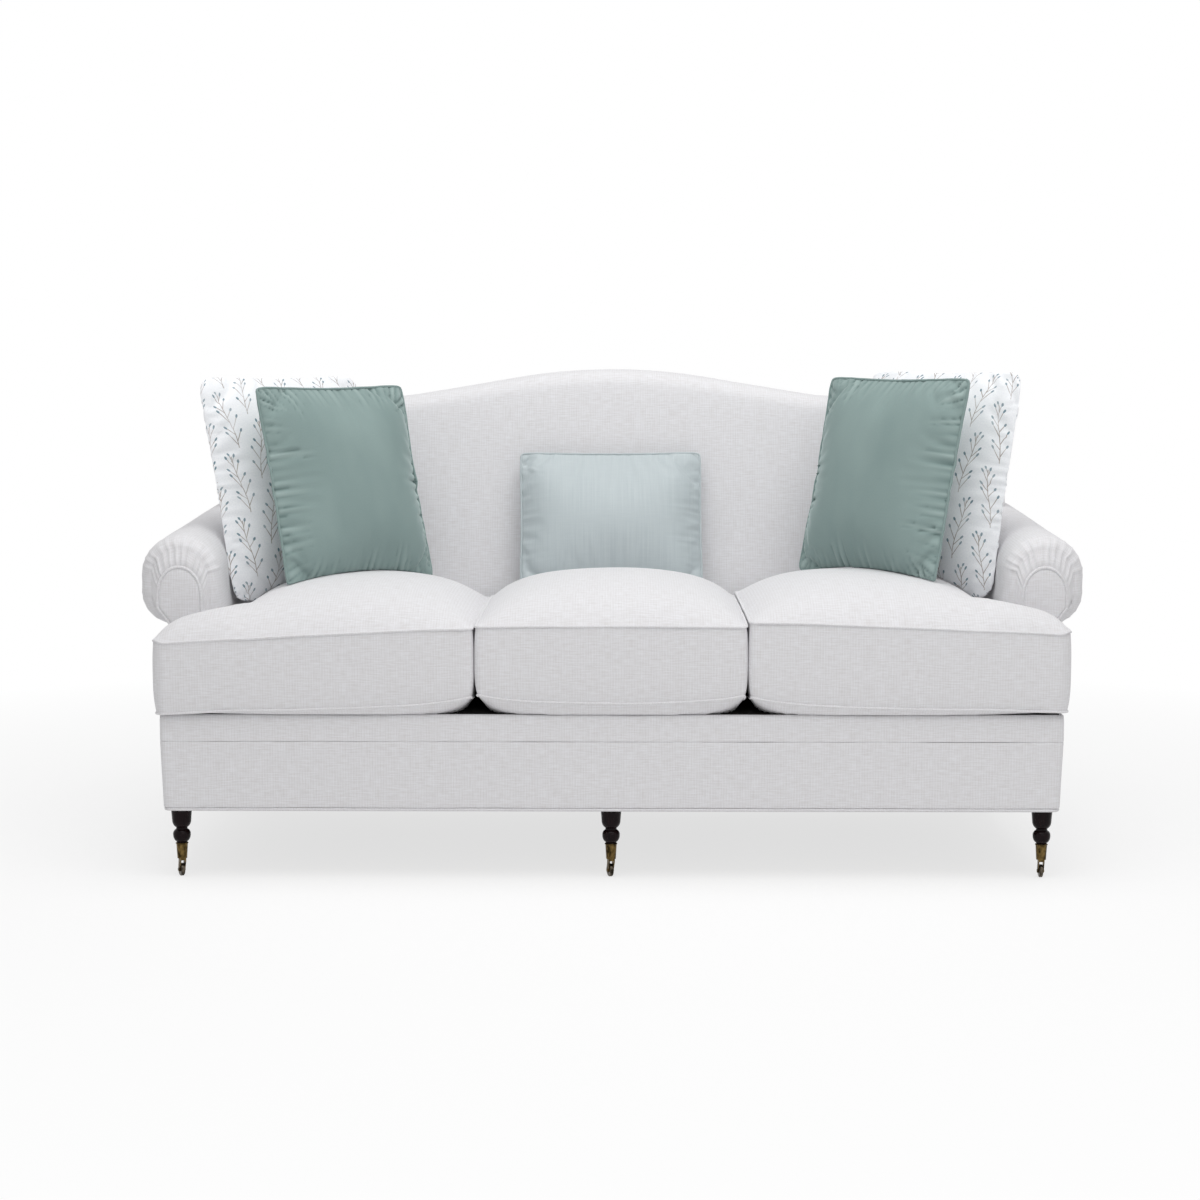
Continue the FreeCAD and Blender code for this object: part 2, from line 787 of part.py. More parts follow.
def make_arm_frames():
    """Boards inside the arms: a front post, a top rail under the roll and a tack rail at the seat."""
    post_back = arm_front + dim.arm_front_rounding + dim.board_thickness
    rail_foot = dim.arm_hollow_top - dim.arm_top_rail_height
    tack_foot = rail_top + dim.arm_tack_rail_lift
    rail_width = (post_inner, frame_half - dim.arm_board_gap)
    tack_width = (post_inner, side_rail_inner)
    frame = {"arm_posts": [], "arm_top_rails": [], "arm_tack_rails": []}
    for side in (left, right):
        name = side_name[side]
        frame["arm_posts"].append(box(
            f"arm_post_{name}", mirrored(side, tack_width),
            (arm_front + dim.arm_front_rounding, post_back), (dim.leg_height, rail_foot)))
        frame["arm_top_rails"].append(box(
            f"arm_top_rail_{name}", mirrored(side, rail_width),
            (arm_front + dim.arm_front_rounding, back_line(post_plane, rail_foot)),
            (rail_foot, dim.arm_hollow_top)))
        frame["arm_tack_rails"].append(box(
            f"arm_tack_rail_{name}", mirrored(side, tack_width),
            (post_back, back_line(post_plane, tack_foot)), (tack_foot, tack_foot + dim.arm_tack_rail_height)))
    for label, boards in frame.items():
        group(label, boards)


# Back

def back_plane(y, z, slope):
    """Maps (x, height above the floor) on to a plane that leans back, measured square to the floor."""
    tilt = math.hypot(1, slope)

    def place(u, v):
        rise = (v - z) / tilt
        return Vector(u, y + slope * rise, z + rise)
    return place


def camel_outline(slope, inset, foot, half):
    """Front view of the back, stretched along its lean: crest, slopes, valleys and shoulders.

    Heights are those above the floor, drawn out so that they come true on the leaning plane."""
    tilt = math.hypot(1, slope)
    angle = math.asin(dim.crest_reach.value / dim.crest_radius.value)
    base = foot

    def drawn(height):
        return base + (height - base) * tilt

    crest = drawn(dim.crest_height.value - inset)
    crest_end = crest - dim.crest_radius.value * (1 - math.cos(angle))
    slope_end = crest_end - (dim.slope_reach.value - dim.crest_reach.value) * math.tan(angle)
    valley = slope_end - dim.valley_radius.value * (1 - math.cos(angle))
    valley_end = dim.slope_reach.value + dim.valley_radius.value * math.sin(angle)
    edge = half - inset
    corner = dim.shoulder_rounding.value
    crest_half = dim.crest_reach.value
    slope_half = dim.slope_reach.value
    hollow = -dim.valley_radius.value
    return [
        (-edge, foot, None), (edge, foot, None), (edge, valley - corner, corner),
        (edge - corner, valley, None), (valley_end, valley, hollow), (slope_half, slope_end, None),
        (crest_half, crest_end, dim.crest_radius.value), (-crest_half, crest_end, None),
        (-slope_half, slope_end, hollow), (-valley_end, valley, None),
        (-edge + corner, valley, corner), (-edge, valley - corner, None)]


def camel_wire(y, z, slope, inset, foot):
    """Camel outline on a leaning plane through y at height z, with its foot at a height."""
    points = camel_outline(slope, inset, foot, frame_half.value)
    place = back_plane(y + slope * (foot - z), foot, slope)
    return wire(points, place)


def make_inside_back():
    """Padded inside of the back with a rounded crest, hollow behind for the boards and webbing."""
    foot = deck_top.value
    rounding = dim.crest_rounding.value
    slope = dim.inside_slope.value
    sections = []
    for turn in rounding_angles:
        sections.append(camel_wire(inside_back_foot.value + rounding * (1 - math.cos(turn)), foot, slope,
                                   rounding * (1 - math.sin(turn)), foot))
    outer = back_line(dim.cover_thickness, deck_top).value
    sections.append(camel_wire(outer, foot, outside_slope.value, 0, foot))
    padding = Part.makeLoft(sections, True, True)
    depth = (dim.board_thickness + dim.tack_rail_thickness + dim.hollow_margin).value
    hollow = Part.Face(camel_wire(outer, foot, outside_slope.value, dim.crest_wall.value,
                                  foot - dim.board_clearance.value))
    hollow = hollow.extrude(Vector(0, -depth, 0))
    rails = [rail.Shape for rail in doc.getObject("arm_top_rails").Links]
    feature("inside_back", padding.cut(hollow).cut(Part.makeCompound(rails)))


def make_outside_back():
    outer = back_line(zero, border_foot).value
    face = Part.Face(camel_wire(outer, border_foot.value, outside_slope.value, 0, border_foot.value))
    feature("outside_back", face.extrude(Vector(0, -dim.cover_thickness.value, 0)))


def leaning_board(label, x_span, front, rear, foot, top):
    """Board along the lean of the back, between two planes inset from its outside."""
    return across(label, x_span, polygon(
        (back_line(front, foot), foot), (back_line(rear, foot), foot),
        (back_line(rear, top), top), (back_line(front, top), top)))


def make_back_frame():
    rear = dim.cover_thickness
    bore = dim.bolt_radius + dim.bolt_clearance
    posts = []
    stiles = []
    for side in (left, right):
        name = side_name[side]
        post = leaning_board(f"back_post_{name}", mirrored(side, (post_inner, side_rail_inner)),
                             post_plane, rear, dim.leg_height, post_top)
        posts.append(drill(post, f"back_post_{name}", [(rear_leg_spread * side, rear_leg_place)], bore,
                           dim.leg_height, bolt_reach))
        stile_width = (dim.stile_place - board_half * 2, dim.stile_place + board_half * 2)
        stiles.append(leaning_board(f"back_stile_{name}", mirrored(side, stile_width), post_plane, rear,
                                    rail_top, post_top))
    group("back_posts", posts)
    group("back_stiles", stiles)
    tack_foot = deck_top + dim.tack_rail_lift
    keep(leaning_board("back_tack_rail", (-side_rail_inner, side_rail_inner),
                       post_plane + dim.tack_rail_thickness, post_plane, tack_foot,
                       tack_foot + dim.tack_rail_height), "back_tack_rail")


def make_back_top_rail():
    """Board sawn to the camel shape, on top of the posts and stiles."""
    foot = post_top.value
    outer = back_line(dim.cover_thickness, post_top).value
    inset = (dim.crest_wall + dim.board_clearance).value
    face = Part.Face(camel_wire(outer, foot, outside_slope.value, inset, foot))
    feature("back_top_rail", face.extrude(Vector(0, -dim.board_thickness.value, 0)))


def make_back_webbing():
    foot = deck_top + dim.tack_rail_lift + dim.tack_rail_height + dim.board_clearance
    top = post_top + dim.board_thickness
    half = dim.webbing_width / 2
    bands = []
    count = 2 * int(float(post_inner - half) / float(dim.webbing_spacing)) + 1
    for number in range(count):
        x = dim.webbing_spacing * (number - count // 2)
        bands.append(leaning_board(f"webbing_band_{number}", (x - half, x + half),
                                   post_plane + dim.webbing_thickness, post_plane, foot, top))
    group("back_webbing", bands)


# Seat cushions

# Shares of the crown's reach at its sections, that reach as a share of the depth, and how the plan
# outline changes as it draws in
crown_shares = (0.13, 0.28, 0.45, 0.65, 0.85, 1)
crown_draw = 0.293
corner_growth = 0.5
corner_limit = 0.45
jog_draw = 3.4
least_jog = 3
under_knee_height = 0.35
under_knee_draw = 0.4


def cushion_outline(outer, inset):
    """Plan of a seat cushion: the middle one is plain, the right one reaches in front of the arm."""
    front = seat_front.value + inset
    back = inside_back_foot.value - dim.soft_gap.value * 2 - inset
    half = dim.centre_cushion_width.value / 2 - dim.cushion_gap.value / 2
    corner = min(dim.cushion_corner.value + inset * corner_growth, (back - front) * corner_limit)
    if not outer:
        half = half - inset
        corner = min(corner, half * 2 * corner_limit)
        return rounded([(-half, front, corner), (half, front, corner), (half, back, corner),
                        (-half, back, corner)])
    inner = half + dim.cushion_gap.value + inset
    beside_arm = dim.arm_inner.value - dim.arm_clearance.value - inset
    corner = min(corner, (beside_arm - inner) * corner_limit, (back - front) * corner_limit ** 2)
    jog = max(dim.cushion_reach.value - jog_draw * inset - beside_arm, least_jog)
    reach = beside_arm + jog
    ear_back = arm_front.value - dim.facing_welt_radius.value - dim.ear_clearance.value
    ear = max(ear_back - inset, front + corner / corner_limit)
    turn = min(corner, jog * corner_limit)
    return rounded([(inner, front, corner), (reach, front, corner), (reach, ear, turn),
                    (beside_arm, ear, turn), (beside_arm, back, corner), (inner, back, corner)])


def cushion_sections():
    """(height, inset) of each plan outline: underside, boxing with its belly, and crown."""
    foot = (deck_top + dim.soft_gap).value
    boxing_foot = dim.cushion_boxing_foot.value
    boxing_top = dim.cushion_boxing_top.value
    belly = dim.cushion_belly.value
    under = dim.cushion_under_inset.value
    crown_reach = (inside_back_foot - seat_front).value * crown_draw
    knee = foot + (boxing_foot - foot) * under_knee_height
    sections = [(foot, under), (knee, under * under_knee_draw), (boxing_foot, belly),
                ((boxing_foot + boxing_top) / 2, 0), (boxing_top, belly)]
    for share in crown_shares:
        height = boxing_top + dim.cushion_crown.value * (1 - (1 - share) ** 2)
        sections.append((height, belly + crown_reach * share))
    return sections


def core_block(outer, grow):
    """Firm block inside a cushion, grown by a little for the hollow that it sits in."""
    inset = dim.core_inset.value - grow
    half = (dim.centre_cushion_width - dim.cushion_gap).value / 2
    low = half + dim.cushion_gap.value + inset if outer else inset - half
    high = (dim.arm_inner - dim.arm_clearance).value - inset if outer else half - inset
    front = seat_front.value + inset
    depth = (inside_back_foot - seat_front).value - 2 * inset
    height = dim.core_height.value + 2 * grow
    corner = Vector(low, front, (deck_top + dim.core_lift).value - grow)
    return Part.makeBox(high - low, depth, height, corner)


def make_seat_cushions():
    """Covers with their down wrap, lofted through their plan outlines, each round a firm core."""
    for outer, keep_as in ((True, pair), (False, lambda label, shape: feature(f"{label}_centre", shape))):
        outlines = [wire(cushion_outline(outer, inset), lambda u, v, height=height: Vector(u, v, height))
                    for height, inset in cushion_sections()]
        cover = Part.makeLoft(outlines, True, True)
        keep_as("seat_cushion", cover.cut(core_block(outer, dim.soft_gap.value)))
        keep_as("seat_core", core_block(outer, 0))


# Scatter pillows

# Shares of the way from the seam to the middle of a face, how fast the corners and the sides draw in
# on that way, and how full the face swells
pillow_shares = (1, 0.72, 0.46, 0.23, 0.08, 0, -0.08, -0.23, -0.46, -0.72, -1)
corner_draw = 1.3
side_draw = 0.3
swelling = 2.2


def pillow_outline(width, height, inset, draw_in):
    """Pillow plan: pointed corners and sides drawn in between them, rounder towards the middle."""
    wide = width / 2 - corner_draw * inset
    high = height / 2 - corner_draw * inset
    bow = draw_in - side_draw * inset
    points = []
    corners = [(-wide, -high), (wide, -high), (wide, high), (-wide, high)]
    for number, corner in enumerate(corners):
        after = corners[(number + 1) % 4]
        chord = math.hypot(after[0] - corner[0], after[1] - corner[1])
        radius = (chord ** 2 / 4 + bow ** 2) / (2 * abs(bow))
        points.append((*corner, -radius if bow > 0 else radius))
    return points


def make_pillow(label, width, height, thickness, place, seat):
    """Pillow lofted from its seam to both faces, pressed on to the crown of the cushion under it."""
    x, y, z, turn, lean = (size.value for size in place)
    reach = min(width.value, height.value) / 3
    sections = []
    for share in pillow_shares:
        inset = reach * abs(share)
        depth = math.copysign(thickness.value / 2 * (1 - (1 - abs(share)) ** swelling), share)
        points = pillow_outline(width.value, height.value, inset, dim.pillow_draw.value)
        sections.append(wire(points, lambda u, v, depth=depth: Vector(u, depth, v)))
    pillow = Part.makeLoft(sections, True, True)
    facing = FreeCAD.Rotation(Vector(0, 0, 1), turn)
    leaning = FreeCAD.Rotation(Vector(1, 0, 0), -lean)
    pillow.Placement = FreeCAD.Placement(Vector(x, y, z), facing.multiply(leaning))
    pressed = doc.getObject(f"seat_cushion_{seat}").Shape.copy()
    pressed.translate(Vector(0, 0, 3 * dim.soft_gap.value))
    pillow = pillow.cut(pressed)
    feature(label, max(pillow.Solids, key=lambda solid: solid.Volume))


def make_pillows():
    crown_top = dim.cushion_boxing_top + dim.cushion_crown
    for side in (left, right):
        name = side_name[side]
        for kind, width, thickness in (("print", dim.print_size, dim.print_thickness),
                                       ("velvet", dim.velvet_size, dim.velvet_thickness)):
            keys = ("from_arm", "from_back", "above_crown", "turn", "lean")
            inward, forward, rise, turn, lean = (getattr(dim, f"{kind}_{name}_{key}") for key in keys)
            place = ((dim.arm_inner - inward) * side, inside_back_foot - forward, crown_top + rise,
                     turn * -side, lean)
            make_pillow(f"pillow_{kind}_{name}", width, width, thickness, place, name)
    place = (dim.lumbar_shift, inside_back_foot - dim.lumbar_from_back, crown_top + dim.lumbar_above_crown,
             dim.lumbar_turn, dim.lumbar_lean)
    make_pillow("pillow_lumbar", dim.lumbar_width, dim.lumbar_height, dim.lumbar_thickness, place, "centre")


# Legs and casters

def leg_places():
    return {"left": -dim.front_leg_spread, "centre": zero, "right": dim.front_leg_spread}


def make_front_legs():
    """Turned legs: a tapering top, a narrow neck over a ball, and a tip that sits in the caster cup."""
    bore = dim.bolt_radius + dim.bolt_clearance
    bore_foot = dim.leg_height - dim.bolt_depth - dim.bolt_end_gap
    tip_foot = dim.cup_foot + dim.cup_floor + dim.soft_gap
    tip_top = dim.cup_top_radius - dim.cup_wall - dim.bolt_clearance
    step = dim.leg_collar_step
    collar_foot = dim.leg_neck_height - dim.leg_collar_height
    collar_top = dim.leg_neck_height + dim.leg_collar_height
    legs = []
    for name, x in leg_places().items():
        legs.append(turned(f"front_leg_{name}", [
            (zero, tip_foot, None), (dim.leg_tip_radius - dim.bolt_clearance, tip_foot, None),
            (tip_top, dim.cup_top, None),
            (tip_top, dim.cup_top + step, dim.leg_ball_lower_curve),
            (dim.leg_ball_radius, dim.leg_ball_height, dim.leg_ball_upper_curve),
            (dim.leg_neck_radius + step, collar_foot, None),
            (dim.leg_neck_radius + step, dim.leg_neck_height, None),
            (dim.leg_neck_radius, dim.leg_neck_height, None),
            (dim.leg_neck_radius, collar_top, None),
            (dim.leg_neck_radius + step * 2, collar_top, dim.leg_flare_curve),
            (dim.leg_waist_radius, dim.leg_waist_height, None),
            (dim.leg_top_radius, dim.leg_height, None), (bore, dim.leg_height, None),
            (bore, bore_foot, None), (zero, bore_foot, None)], x, front_leg_place))
    group("front_legs", legs)


def make_rear_legs():
    """Square tapered legs with flat feet."""
    for name, x in (("left", -rear_leg_spread), ("centre", zero), ("right", rear_leg_spread)):
        sections = []
        body = doc.addObject("PartDesign::Body", f"rear_leg_{name}")
        ends = (("foot", zero, dim.rear_leg_foot), ("top", dim.leg_height, dim.rear_leg_top))
        for part, height, size in ends:
            half = size / 2
            sections.append(draw(body, f"rear_leg_{name}_{part}", "XY_Plane", height, polygon(
                (x - half, rear_leg_place - half), (x + half, rear_leg_place - half),
                (x + half, rear_leg_place + half), (x - half, rear_leg_place + half))))
        loft = body.newObject("PartDesign::AdditiveLoft", f"rear_leg_{name}_loft")
        loft.Profile = sections[0]
        loft.Sections = sections[1:]
        body.Tip = loft
        bore = dim.bolt_radius + dim.bolt_clearance
        drill(body, f"rear_leg_{name}", [(x, rear_leg_place)], bore,
              dim.leg_height - dim.bolt_depth - dim.bolt_end_gap, dim.bolt_depth + dim.bolt_end_gap * 2)
        keep(body, f"rear_leg_{name}")


def make_leg_bolts():
    foot = dim.leg_height - dim.bolt_depth
    places = [(x, front_leg_place) for x in leg_places().values()]
    places += [(x, rear_leg_place) for x in (-rear_leg_spread, zero, rear_leg_spread)]
    bolts = []
    for number, (x, y) in enumerate(places):
        bolt = doc.addObject("Part::Cylinder", f"leg_bolt_{number}")
        bolt.setExpression("Radius", dim.bolt_radius.formula)
        bolt.setExpression("Height", dim.bolt_length.formula)
        for axis, size in zip("xyz", (x, y, foot)):
            bolt.setExpression(f"Placement.Base.{axis}", size.formula)
        bolts.append(bolt)
    group("leg_bolts", bolts)


def make_caster_cups():
    """Brass cups on the leg tips, beaded at the top, with a floor bored for the caster stem."""
    bore = dim.stem_radius + dim.stem_clearance
    floor = dim.cup_foot + dim.cup_floor
    bead_out = dim.cup_top_radius + dim.cup_wall
    step = dim.cup_bead_height / 3
    cups = []
    for name, x in leg_places().items():
        cups.append(turned(f"caster_cup_{name}", [
            (bore, dim.cup_foot, None), (dim.cup_foot_radius, dim.cup_foot, None),
            (dim.cup_top_radius, dim.cup_top - step * 3, None), (bead_out, dim.cup_top - step * 2, None),
            (bead_out, dim.cup_top - step, None), (dim.cup_top_radius, dim.cup_top, None),
            (dim.cup_top_radius - dim.cup_wall, dim.cup_top, None),
            (dim.leg_tip_radius, floor, None), (bore, floor, None)], x, front_leg_place))
    group("caster_cups", cups)


def caster_placement(name):
    turn = getattr(dim, f"caster_turn_{name}")
    x = leg_places()[name]
    return x, turn


def stand(solid, name):
    """Places a piece drawn about the swivel axis under its leg, turned to its resting angle."""
    x, turn = caster_placement(name)
    solid.setExpression("Placement.Base.x", x.formula)
    solid.setExpression("Placement.Base.y", front_leg_place.formula)
    solid.setExpression("Placement.Rotation.Angle", f"{turn.formula} * 1 deg")
    return solid


def make_caster_fork(name):
    """Bent yoke with a bridge and two cheeks that narrow to the axle, and a stem up into the cup."""
    inner = dim.wheel_width / 2 + dim.fork_side_gap
    outer = inner + dim.fork_cheek
    top = dim.cup_foot - dim.soft_gap
    bridge = top - dim.fork_bridge
    foot = dim.wheel_radius - dim.fork_eye_radius
    eye = dim.fork_eye_radius
    shoulder = bridge - dim.fork_shoulder
    half = dim.fork_width / 2
    front_view = prism(f"fork_front_{name}", "XZ_Plane", -dim.fork_width, dim.fork_width * 2, polygon(
        (-outer, foot), (-inner, foot), (-inner, bridge), (inner, bridge), (inner, foot), (outer, foot),
        (outer, top), (-outer, top)))
    side_view = across(f"fork_side_{name}", (-outer, outer), [
        (-half, top, None), (-half, shoulder, None),
        (dim.wheel_trail - eye, dim.wheel_radius, eye), (dim.wheel_trail, foot, eye),
        (dim.wheel_trail + eye, dim.wheel_radius, None), (half, shoulder, None), (half, top, None)])
    yoke = doc.addObject("Part::MultiCommon", f"fork_yoke_{name}")
    yoke.Shapes = [front_view, side_view]
    stem = doc.addObject("Part::Cylinder", f"fork_stem_{name}")
    stem.setExpression("Radius", dim.stem_radius.formula)
    stem.setExpression("Height", (dim.cup_floor + dim.fork_bridge).formula)
    stem.setExpression("Placement.Base.z", bridge.formula)
    solid = doc.addObject("Part::Fuse", f"fork_solid_{name}")
    solid.Base = yoke
    solid.Tool = stem
    bore = axle_cylinder(f"fork_bore_{name}", dim.axle_radius + dim.rivet_clearance, outer * 2)
    fork = doc.addObject("Part::Cut", f"caster_fork_{name}")
    fork.Base = solid
    fork.Tool = bore
    keep(stand(fork, name), f"caster_fork_{name}")


def axle_cylinder(label, radius, half):
    """Cylinder on the wheel's axis, to both sides of the middle of the caster."""
    cylinder = doc.addObject("Part::Cylinder", label)
    cylinder.setExpression("Radius", radius.formula)
    cylinder.setExpression("Height", (half * 2).formula)
    cylinder.Placement.Rotation = FreeCAD.Rotation(Vector(0, 1, 0), 90)
    cylinder.setExpression("Placement.Base.x", (-half).formula)
    cylinder.setExpression("Placement.Base.y", dim.wheel_trail.formula)
    cylinder.setExpression("Placement.Base.z", dim.wheel_radius.formula)
    return cylinder


def make_caster_axle(name):
    """Riveted pin through both cheeks, with a head outside each."""
    pin = axle_cylinder(f"axle_pin_{name}", dim.axle_radius, axle_half + dim.rivet_height)
    heads = []
    for side in (left, right):
        head = axle_cylinder(f"axle_head_{side_name[side]}_{name}", dim.rivet_radius, dim.rivet_height / 2)
        head.setExpression("Placement.Base.x",
                           (axle_half * side - dim.rivet_height * (1 if side == left else 0)).formula)
        heads.append(head)
    axle = doc.addObject("Part::MultiFuse", f"caster_axle_{name}")
    axle.Shapes = [pin] + heads
    axle.Refine = True
    keep(stand(axle, name), f"caster_axle_{name}")


def make_caster_wheel(name):
    """Wheel with chamfered edges, bored to run on the axle."""
    half = dim.wheel_width / 2
    body = doc.addObject("PartDesign::Body", f"caster_wheel_{name}")
    cut = dim.wheel_chamfer
    radius = dim.wheel_radius
    bore = dim.axle_radius + dim.axle_clearance
    sketch = draw(body, f"wheel_profile_{name}", "XY_Plane", zero, polygon(
        (-half, bore), (half, bore), (half, radius - cut), (half - cut, radius),
        (-half + cut, radius), (-half, radius - cut)))
    revolution = body.newObject("PartDesign::Revolution", f"wheel_turning_{name}")
    revolution.Profile = sketch
    revolution.ReferenceAxis = (sketch, ["H_Axis"])
    revolution.Angle = 360
    body.Tip = revolution
    x, turn = caster_placement(name)
    angle = f"{turn.formula} * 1 deg"
    trail = dim.wheel_trail.formula
    body.setExpression("Placement.Rotation.Angle", angle)
    body.setExpression("Placement.Base.x", f"({x.formula}) - {trail} * sin({angle})")
    body.setExpression("Placement.Base.y", f"({front_leg_place.formula}) + {trail} * cos({angle})")
    body.setExpression("Placement.Base.z", radius.formula)
    keep(body, f"caster_wheel_{name}")


# Whole sofa

make_front_rail()
make_back_rail()
make_side_rails()
make_cross_rails()
make_corner_blocks()
make_springs()
make_spring_clips()
make_deck()
make_front_border()
make_front_edge_band()
make_base_welt()
make_dust_cover()
make_arm_covers()
make_arm_facings()
for arm_side in (left, right):
    make_outside_arm(arm_side)
make_arm_frames()
doc.recompute()
make_inside_back()
make_outside_back()
make_back_frame()
make_back_top_rail()
make_back_webbing()
make_seat_cushions()
make_pillows()
make_front_legs()
make_rear_legs()
make_leg_bolts()
make_caster_cups()
for place_name in ("left", "centre", "right"):
    make_caster_fork(place_name)
    make_caster_axle(place_name)
    make_caster_wheel(place_name)
doc.recompute()


def check_and_write():
    """Stops at the first failed object, then writes one file for each sub-part."""
    for item in doc.Objects:
        if "Invalid" in item.State or "Error" in item.State:
            raise RuntimeError(f"{item.Label} failed: {item.State}")
    for solid in nodes:
        if solid.Shape.isNull() or not solid.Shape.isValid():
            raise RuntimeError(f"{solid.Label} has no valid shape")
    os.makedirs("parts", exist_ok=True)
    for solid in nodes:
        solid.Shape.exportStep(os.path.join("parts", f"{solid.Label}.step"))
        print(f"{solid.Label}: {len(solid.Shape.Solids)} solid(s), {solid.Shape.Volume / 1000:.0f} cm3")
    print(f"{len(nodes)} sub-parts")


check_and_write()
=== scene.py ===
import json
import math

import bpy
import numpy as np
from mathutils import Matrix, Vector, noise


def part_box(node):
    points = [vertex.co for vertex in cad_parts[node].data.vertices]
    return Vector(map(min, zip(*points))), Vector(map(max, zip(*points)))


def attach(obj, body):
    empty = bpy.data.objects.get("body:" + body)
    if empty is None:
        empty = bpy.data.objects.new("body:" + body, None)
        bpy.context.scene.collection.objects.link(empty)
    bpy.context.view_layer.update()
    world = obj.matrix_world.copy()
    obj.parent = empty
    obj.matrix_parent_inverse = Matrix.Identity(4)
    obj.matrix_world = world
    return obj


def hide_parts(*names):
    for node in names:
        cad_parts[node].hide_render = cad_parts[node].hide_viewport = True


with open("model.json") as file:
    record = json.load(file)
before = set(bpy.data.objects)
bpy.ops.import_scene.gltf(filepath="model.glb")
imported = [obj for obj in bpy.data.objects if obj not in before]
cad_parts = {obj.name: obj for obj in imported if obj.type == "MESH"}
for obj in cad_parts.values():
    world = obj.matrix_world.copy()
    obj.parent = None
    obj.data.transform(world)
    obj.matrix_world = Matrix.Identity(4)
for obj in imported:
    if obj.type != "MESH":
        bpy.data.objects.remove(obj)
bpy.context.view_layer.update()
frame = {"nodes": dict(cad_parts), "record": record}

print("frame loaded:", len(frame["nodes"]), "nodes")


# Node trees

def hexColour(code):
    values = [int(code[start:start + 2], 16) / 255 for start in (1, 3, 5)]
    return tuple(v / 12.92 if v <= 0.04045 else ((v + 0.055) / 1.055) ** 2.4 for v in values) + (1,)


def addNode(tree, kind, values={}):
    # values holds the node's settings, and its inputs by name or number; an input that gets a socket is linked to
    # it, and a node stands for its first output
    node = tree.nodes.new("ShaderNode" + kind)
    for key, value in values.items():
        if isinstance(value, bpy.types.Node):
            value = value.outputs[0]
        if isinstance(value, bpy.types.NodeSocket):
            tree.links.new(value, node.inputs[key])
        elif isinstance(key, str) and hasattr(node, key):
            setattr(node, key, value)
        else:
            coloured = isinstance(value, str) and value.startswith("#")
            node.inputs[key].default_value = hexColour(value) if coloured else value
    return node


def startMaterial(name, shading, onCloth=False):
    # returns the material, its tree and shader, and the place on the cloth or in the piece
    material = bpy.data.materials.new(name)
    material.use_nodes = True
    tree = material.node_tree
    tree.nodes.clear()
    shader = addNode(tree, "BsdfPrincipled", shading)
    addNode(tree, "OutputMaterial", {"Surface": shader})
    if onCloth:
        return material, tree, shader, addNode(tree, "UVMap", {"uv_map": "cloth"}).outputs[0]
    return material, tree, shader, addNode(tree, "TexCoord").outputs["Object"]


def sumOf(tree, parts):
    # parts are (pattern, share) pairs, added up
    total = 0.0
    for pattern, share in parts:
        total = addNode(tree, "Math", {"operation": "MULTIPLY_ADD", 0: pattern, 1: share, 2: total})
    return total


def stretchedNoise(tree, place, sizes, detail=2.0):
    # noise whose spots are as long along each direction as sizes says, in millimetres; cloth has two directions
    scale = ([1000 / size for size in sizes] + [1])[:3]
    moved = addNode(tree, "Mapping", {"Scale": scale, "Vector": place})
    return addNode(tree, "TexNoise", {"Scale": 1.0, "Detail": detail, "Vector": moved})


def tintAndRaise(tree, shader, pattern, span, colours, millimetres, strength=1.0, relief=None):
    # over its span the pattern goes from the first colour to the second; it also raises the surface, unless
    # another relief does
    share = addNode(tree, "MapRange", {"From Min": span[0], "From Max": span[1], "Value": pattern})
    mix = addNode(tree, "Mix", {"data_type": "RGBA", 0: share, 6: colours[0], 7: colours[1]})
    tree.links.new(mix.outputs[2], shader.inputs["Base Color"])
    if millimetres:
        bump = addNode(tree, "Bump", {"Distance": millimetres / 1000, "Strength": strength,
                                      "Height": pattern if relief is None else relief})
        tree.links.new(bump.outputs[0], shader.inputs["Normal"])
    return mix.outputs[2]


# Upholstery linen: woven from uneven yarn, so short thick slubs lie across a fine rib, matt with little sheen

linen = {
    "colours": ("#D7D5D6", "#E6E6E9"),
    "slub": (24, 2.6),     # length and height; real slubs are near 1 mm high, coarser here so that they show
    "yarn": (2.0, 30),
    "ribSpacing": 5.2,
    "relief": 0.3,
}


def wovenLinen():
    material, tree, shader, place = startMaterial("slubbedLinen", {
        "Roughness": 0.93, "IOR": 1.45, "Specular IOR Level": 0.25, "Sheen Weight": 0.2,
        "Sheen Roughness": 0.6}, True)
    slub = stretchedNoise(tree, place, linen["slub"])
    yarn = stretchedNoise(tree, place, linen["yarn"])
    split = addNode(tree, "SeparateXYZ", {0: place})
    turn = addNode(tree, "Math", {"operation": "MULTIPLY", 0: split, 1: 2000 * math.pi / linen["ribSpacing"]})
    rib = addNode(tree, "Math", {"operation": "SINE", 0: turn})
    weave = sumOf(tree, [(slub, 0.5), (yarn, 0.3), (rib, 0.04)])
    tintAndRaise(tree, shader, weave, (0.26, 0.54), linen["colours"], linen["relief"])
    return material


# Cotton velvet: a cut pile that is pale where it is seen edge on and deep where it is seen head on

velvet = {"colours": ("#6A7F7D", "#9FB1AE"), "patch": (140, 224), "pile": (1.6, 3.2), "relief": 0.25}


def cutVelvet():
    material, tree, shader, place = startMaterial("sageCutVelvet", {
        "Roughness": 0.8, "IOR": 1.45, "Specular IOR Level": 0.2, "Sheen Weight": 0.9, "Sheen Roughness": 0.3,
        "Sheen Tint": "#CDD9D8"}, True)
    brushed = stretchedNoise(tree, place, velvet["patch"], 3)
    pile = stretchedNoise(tree, place, velvet["pile"], 1)
    # painted light and shade from the mesh: below 0 darkens the folds of a gather as painted shade, above 0
    # lightens its ridges as painted highlight
    paintedFoldShading = addNode(tree, "Attribute", {"attribute_name": "paintedFoldShading"}).outputs["Fac"]
    tone = sumOf(tree, [(brushed, 0.5), (pile, 0.15), (paintedFoldShading, 1.0)])
    tintAndRaise(tree, shader, tone, (-0.175, 0.825), velvet["colours"], velvet["relief"], 0.6, pile)
    return material


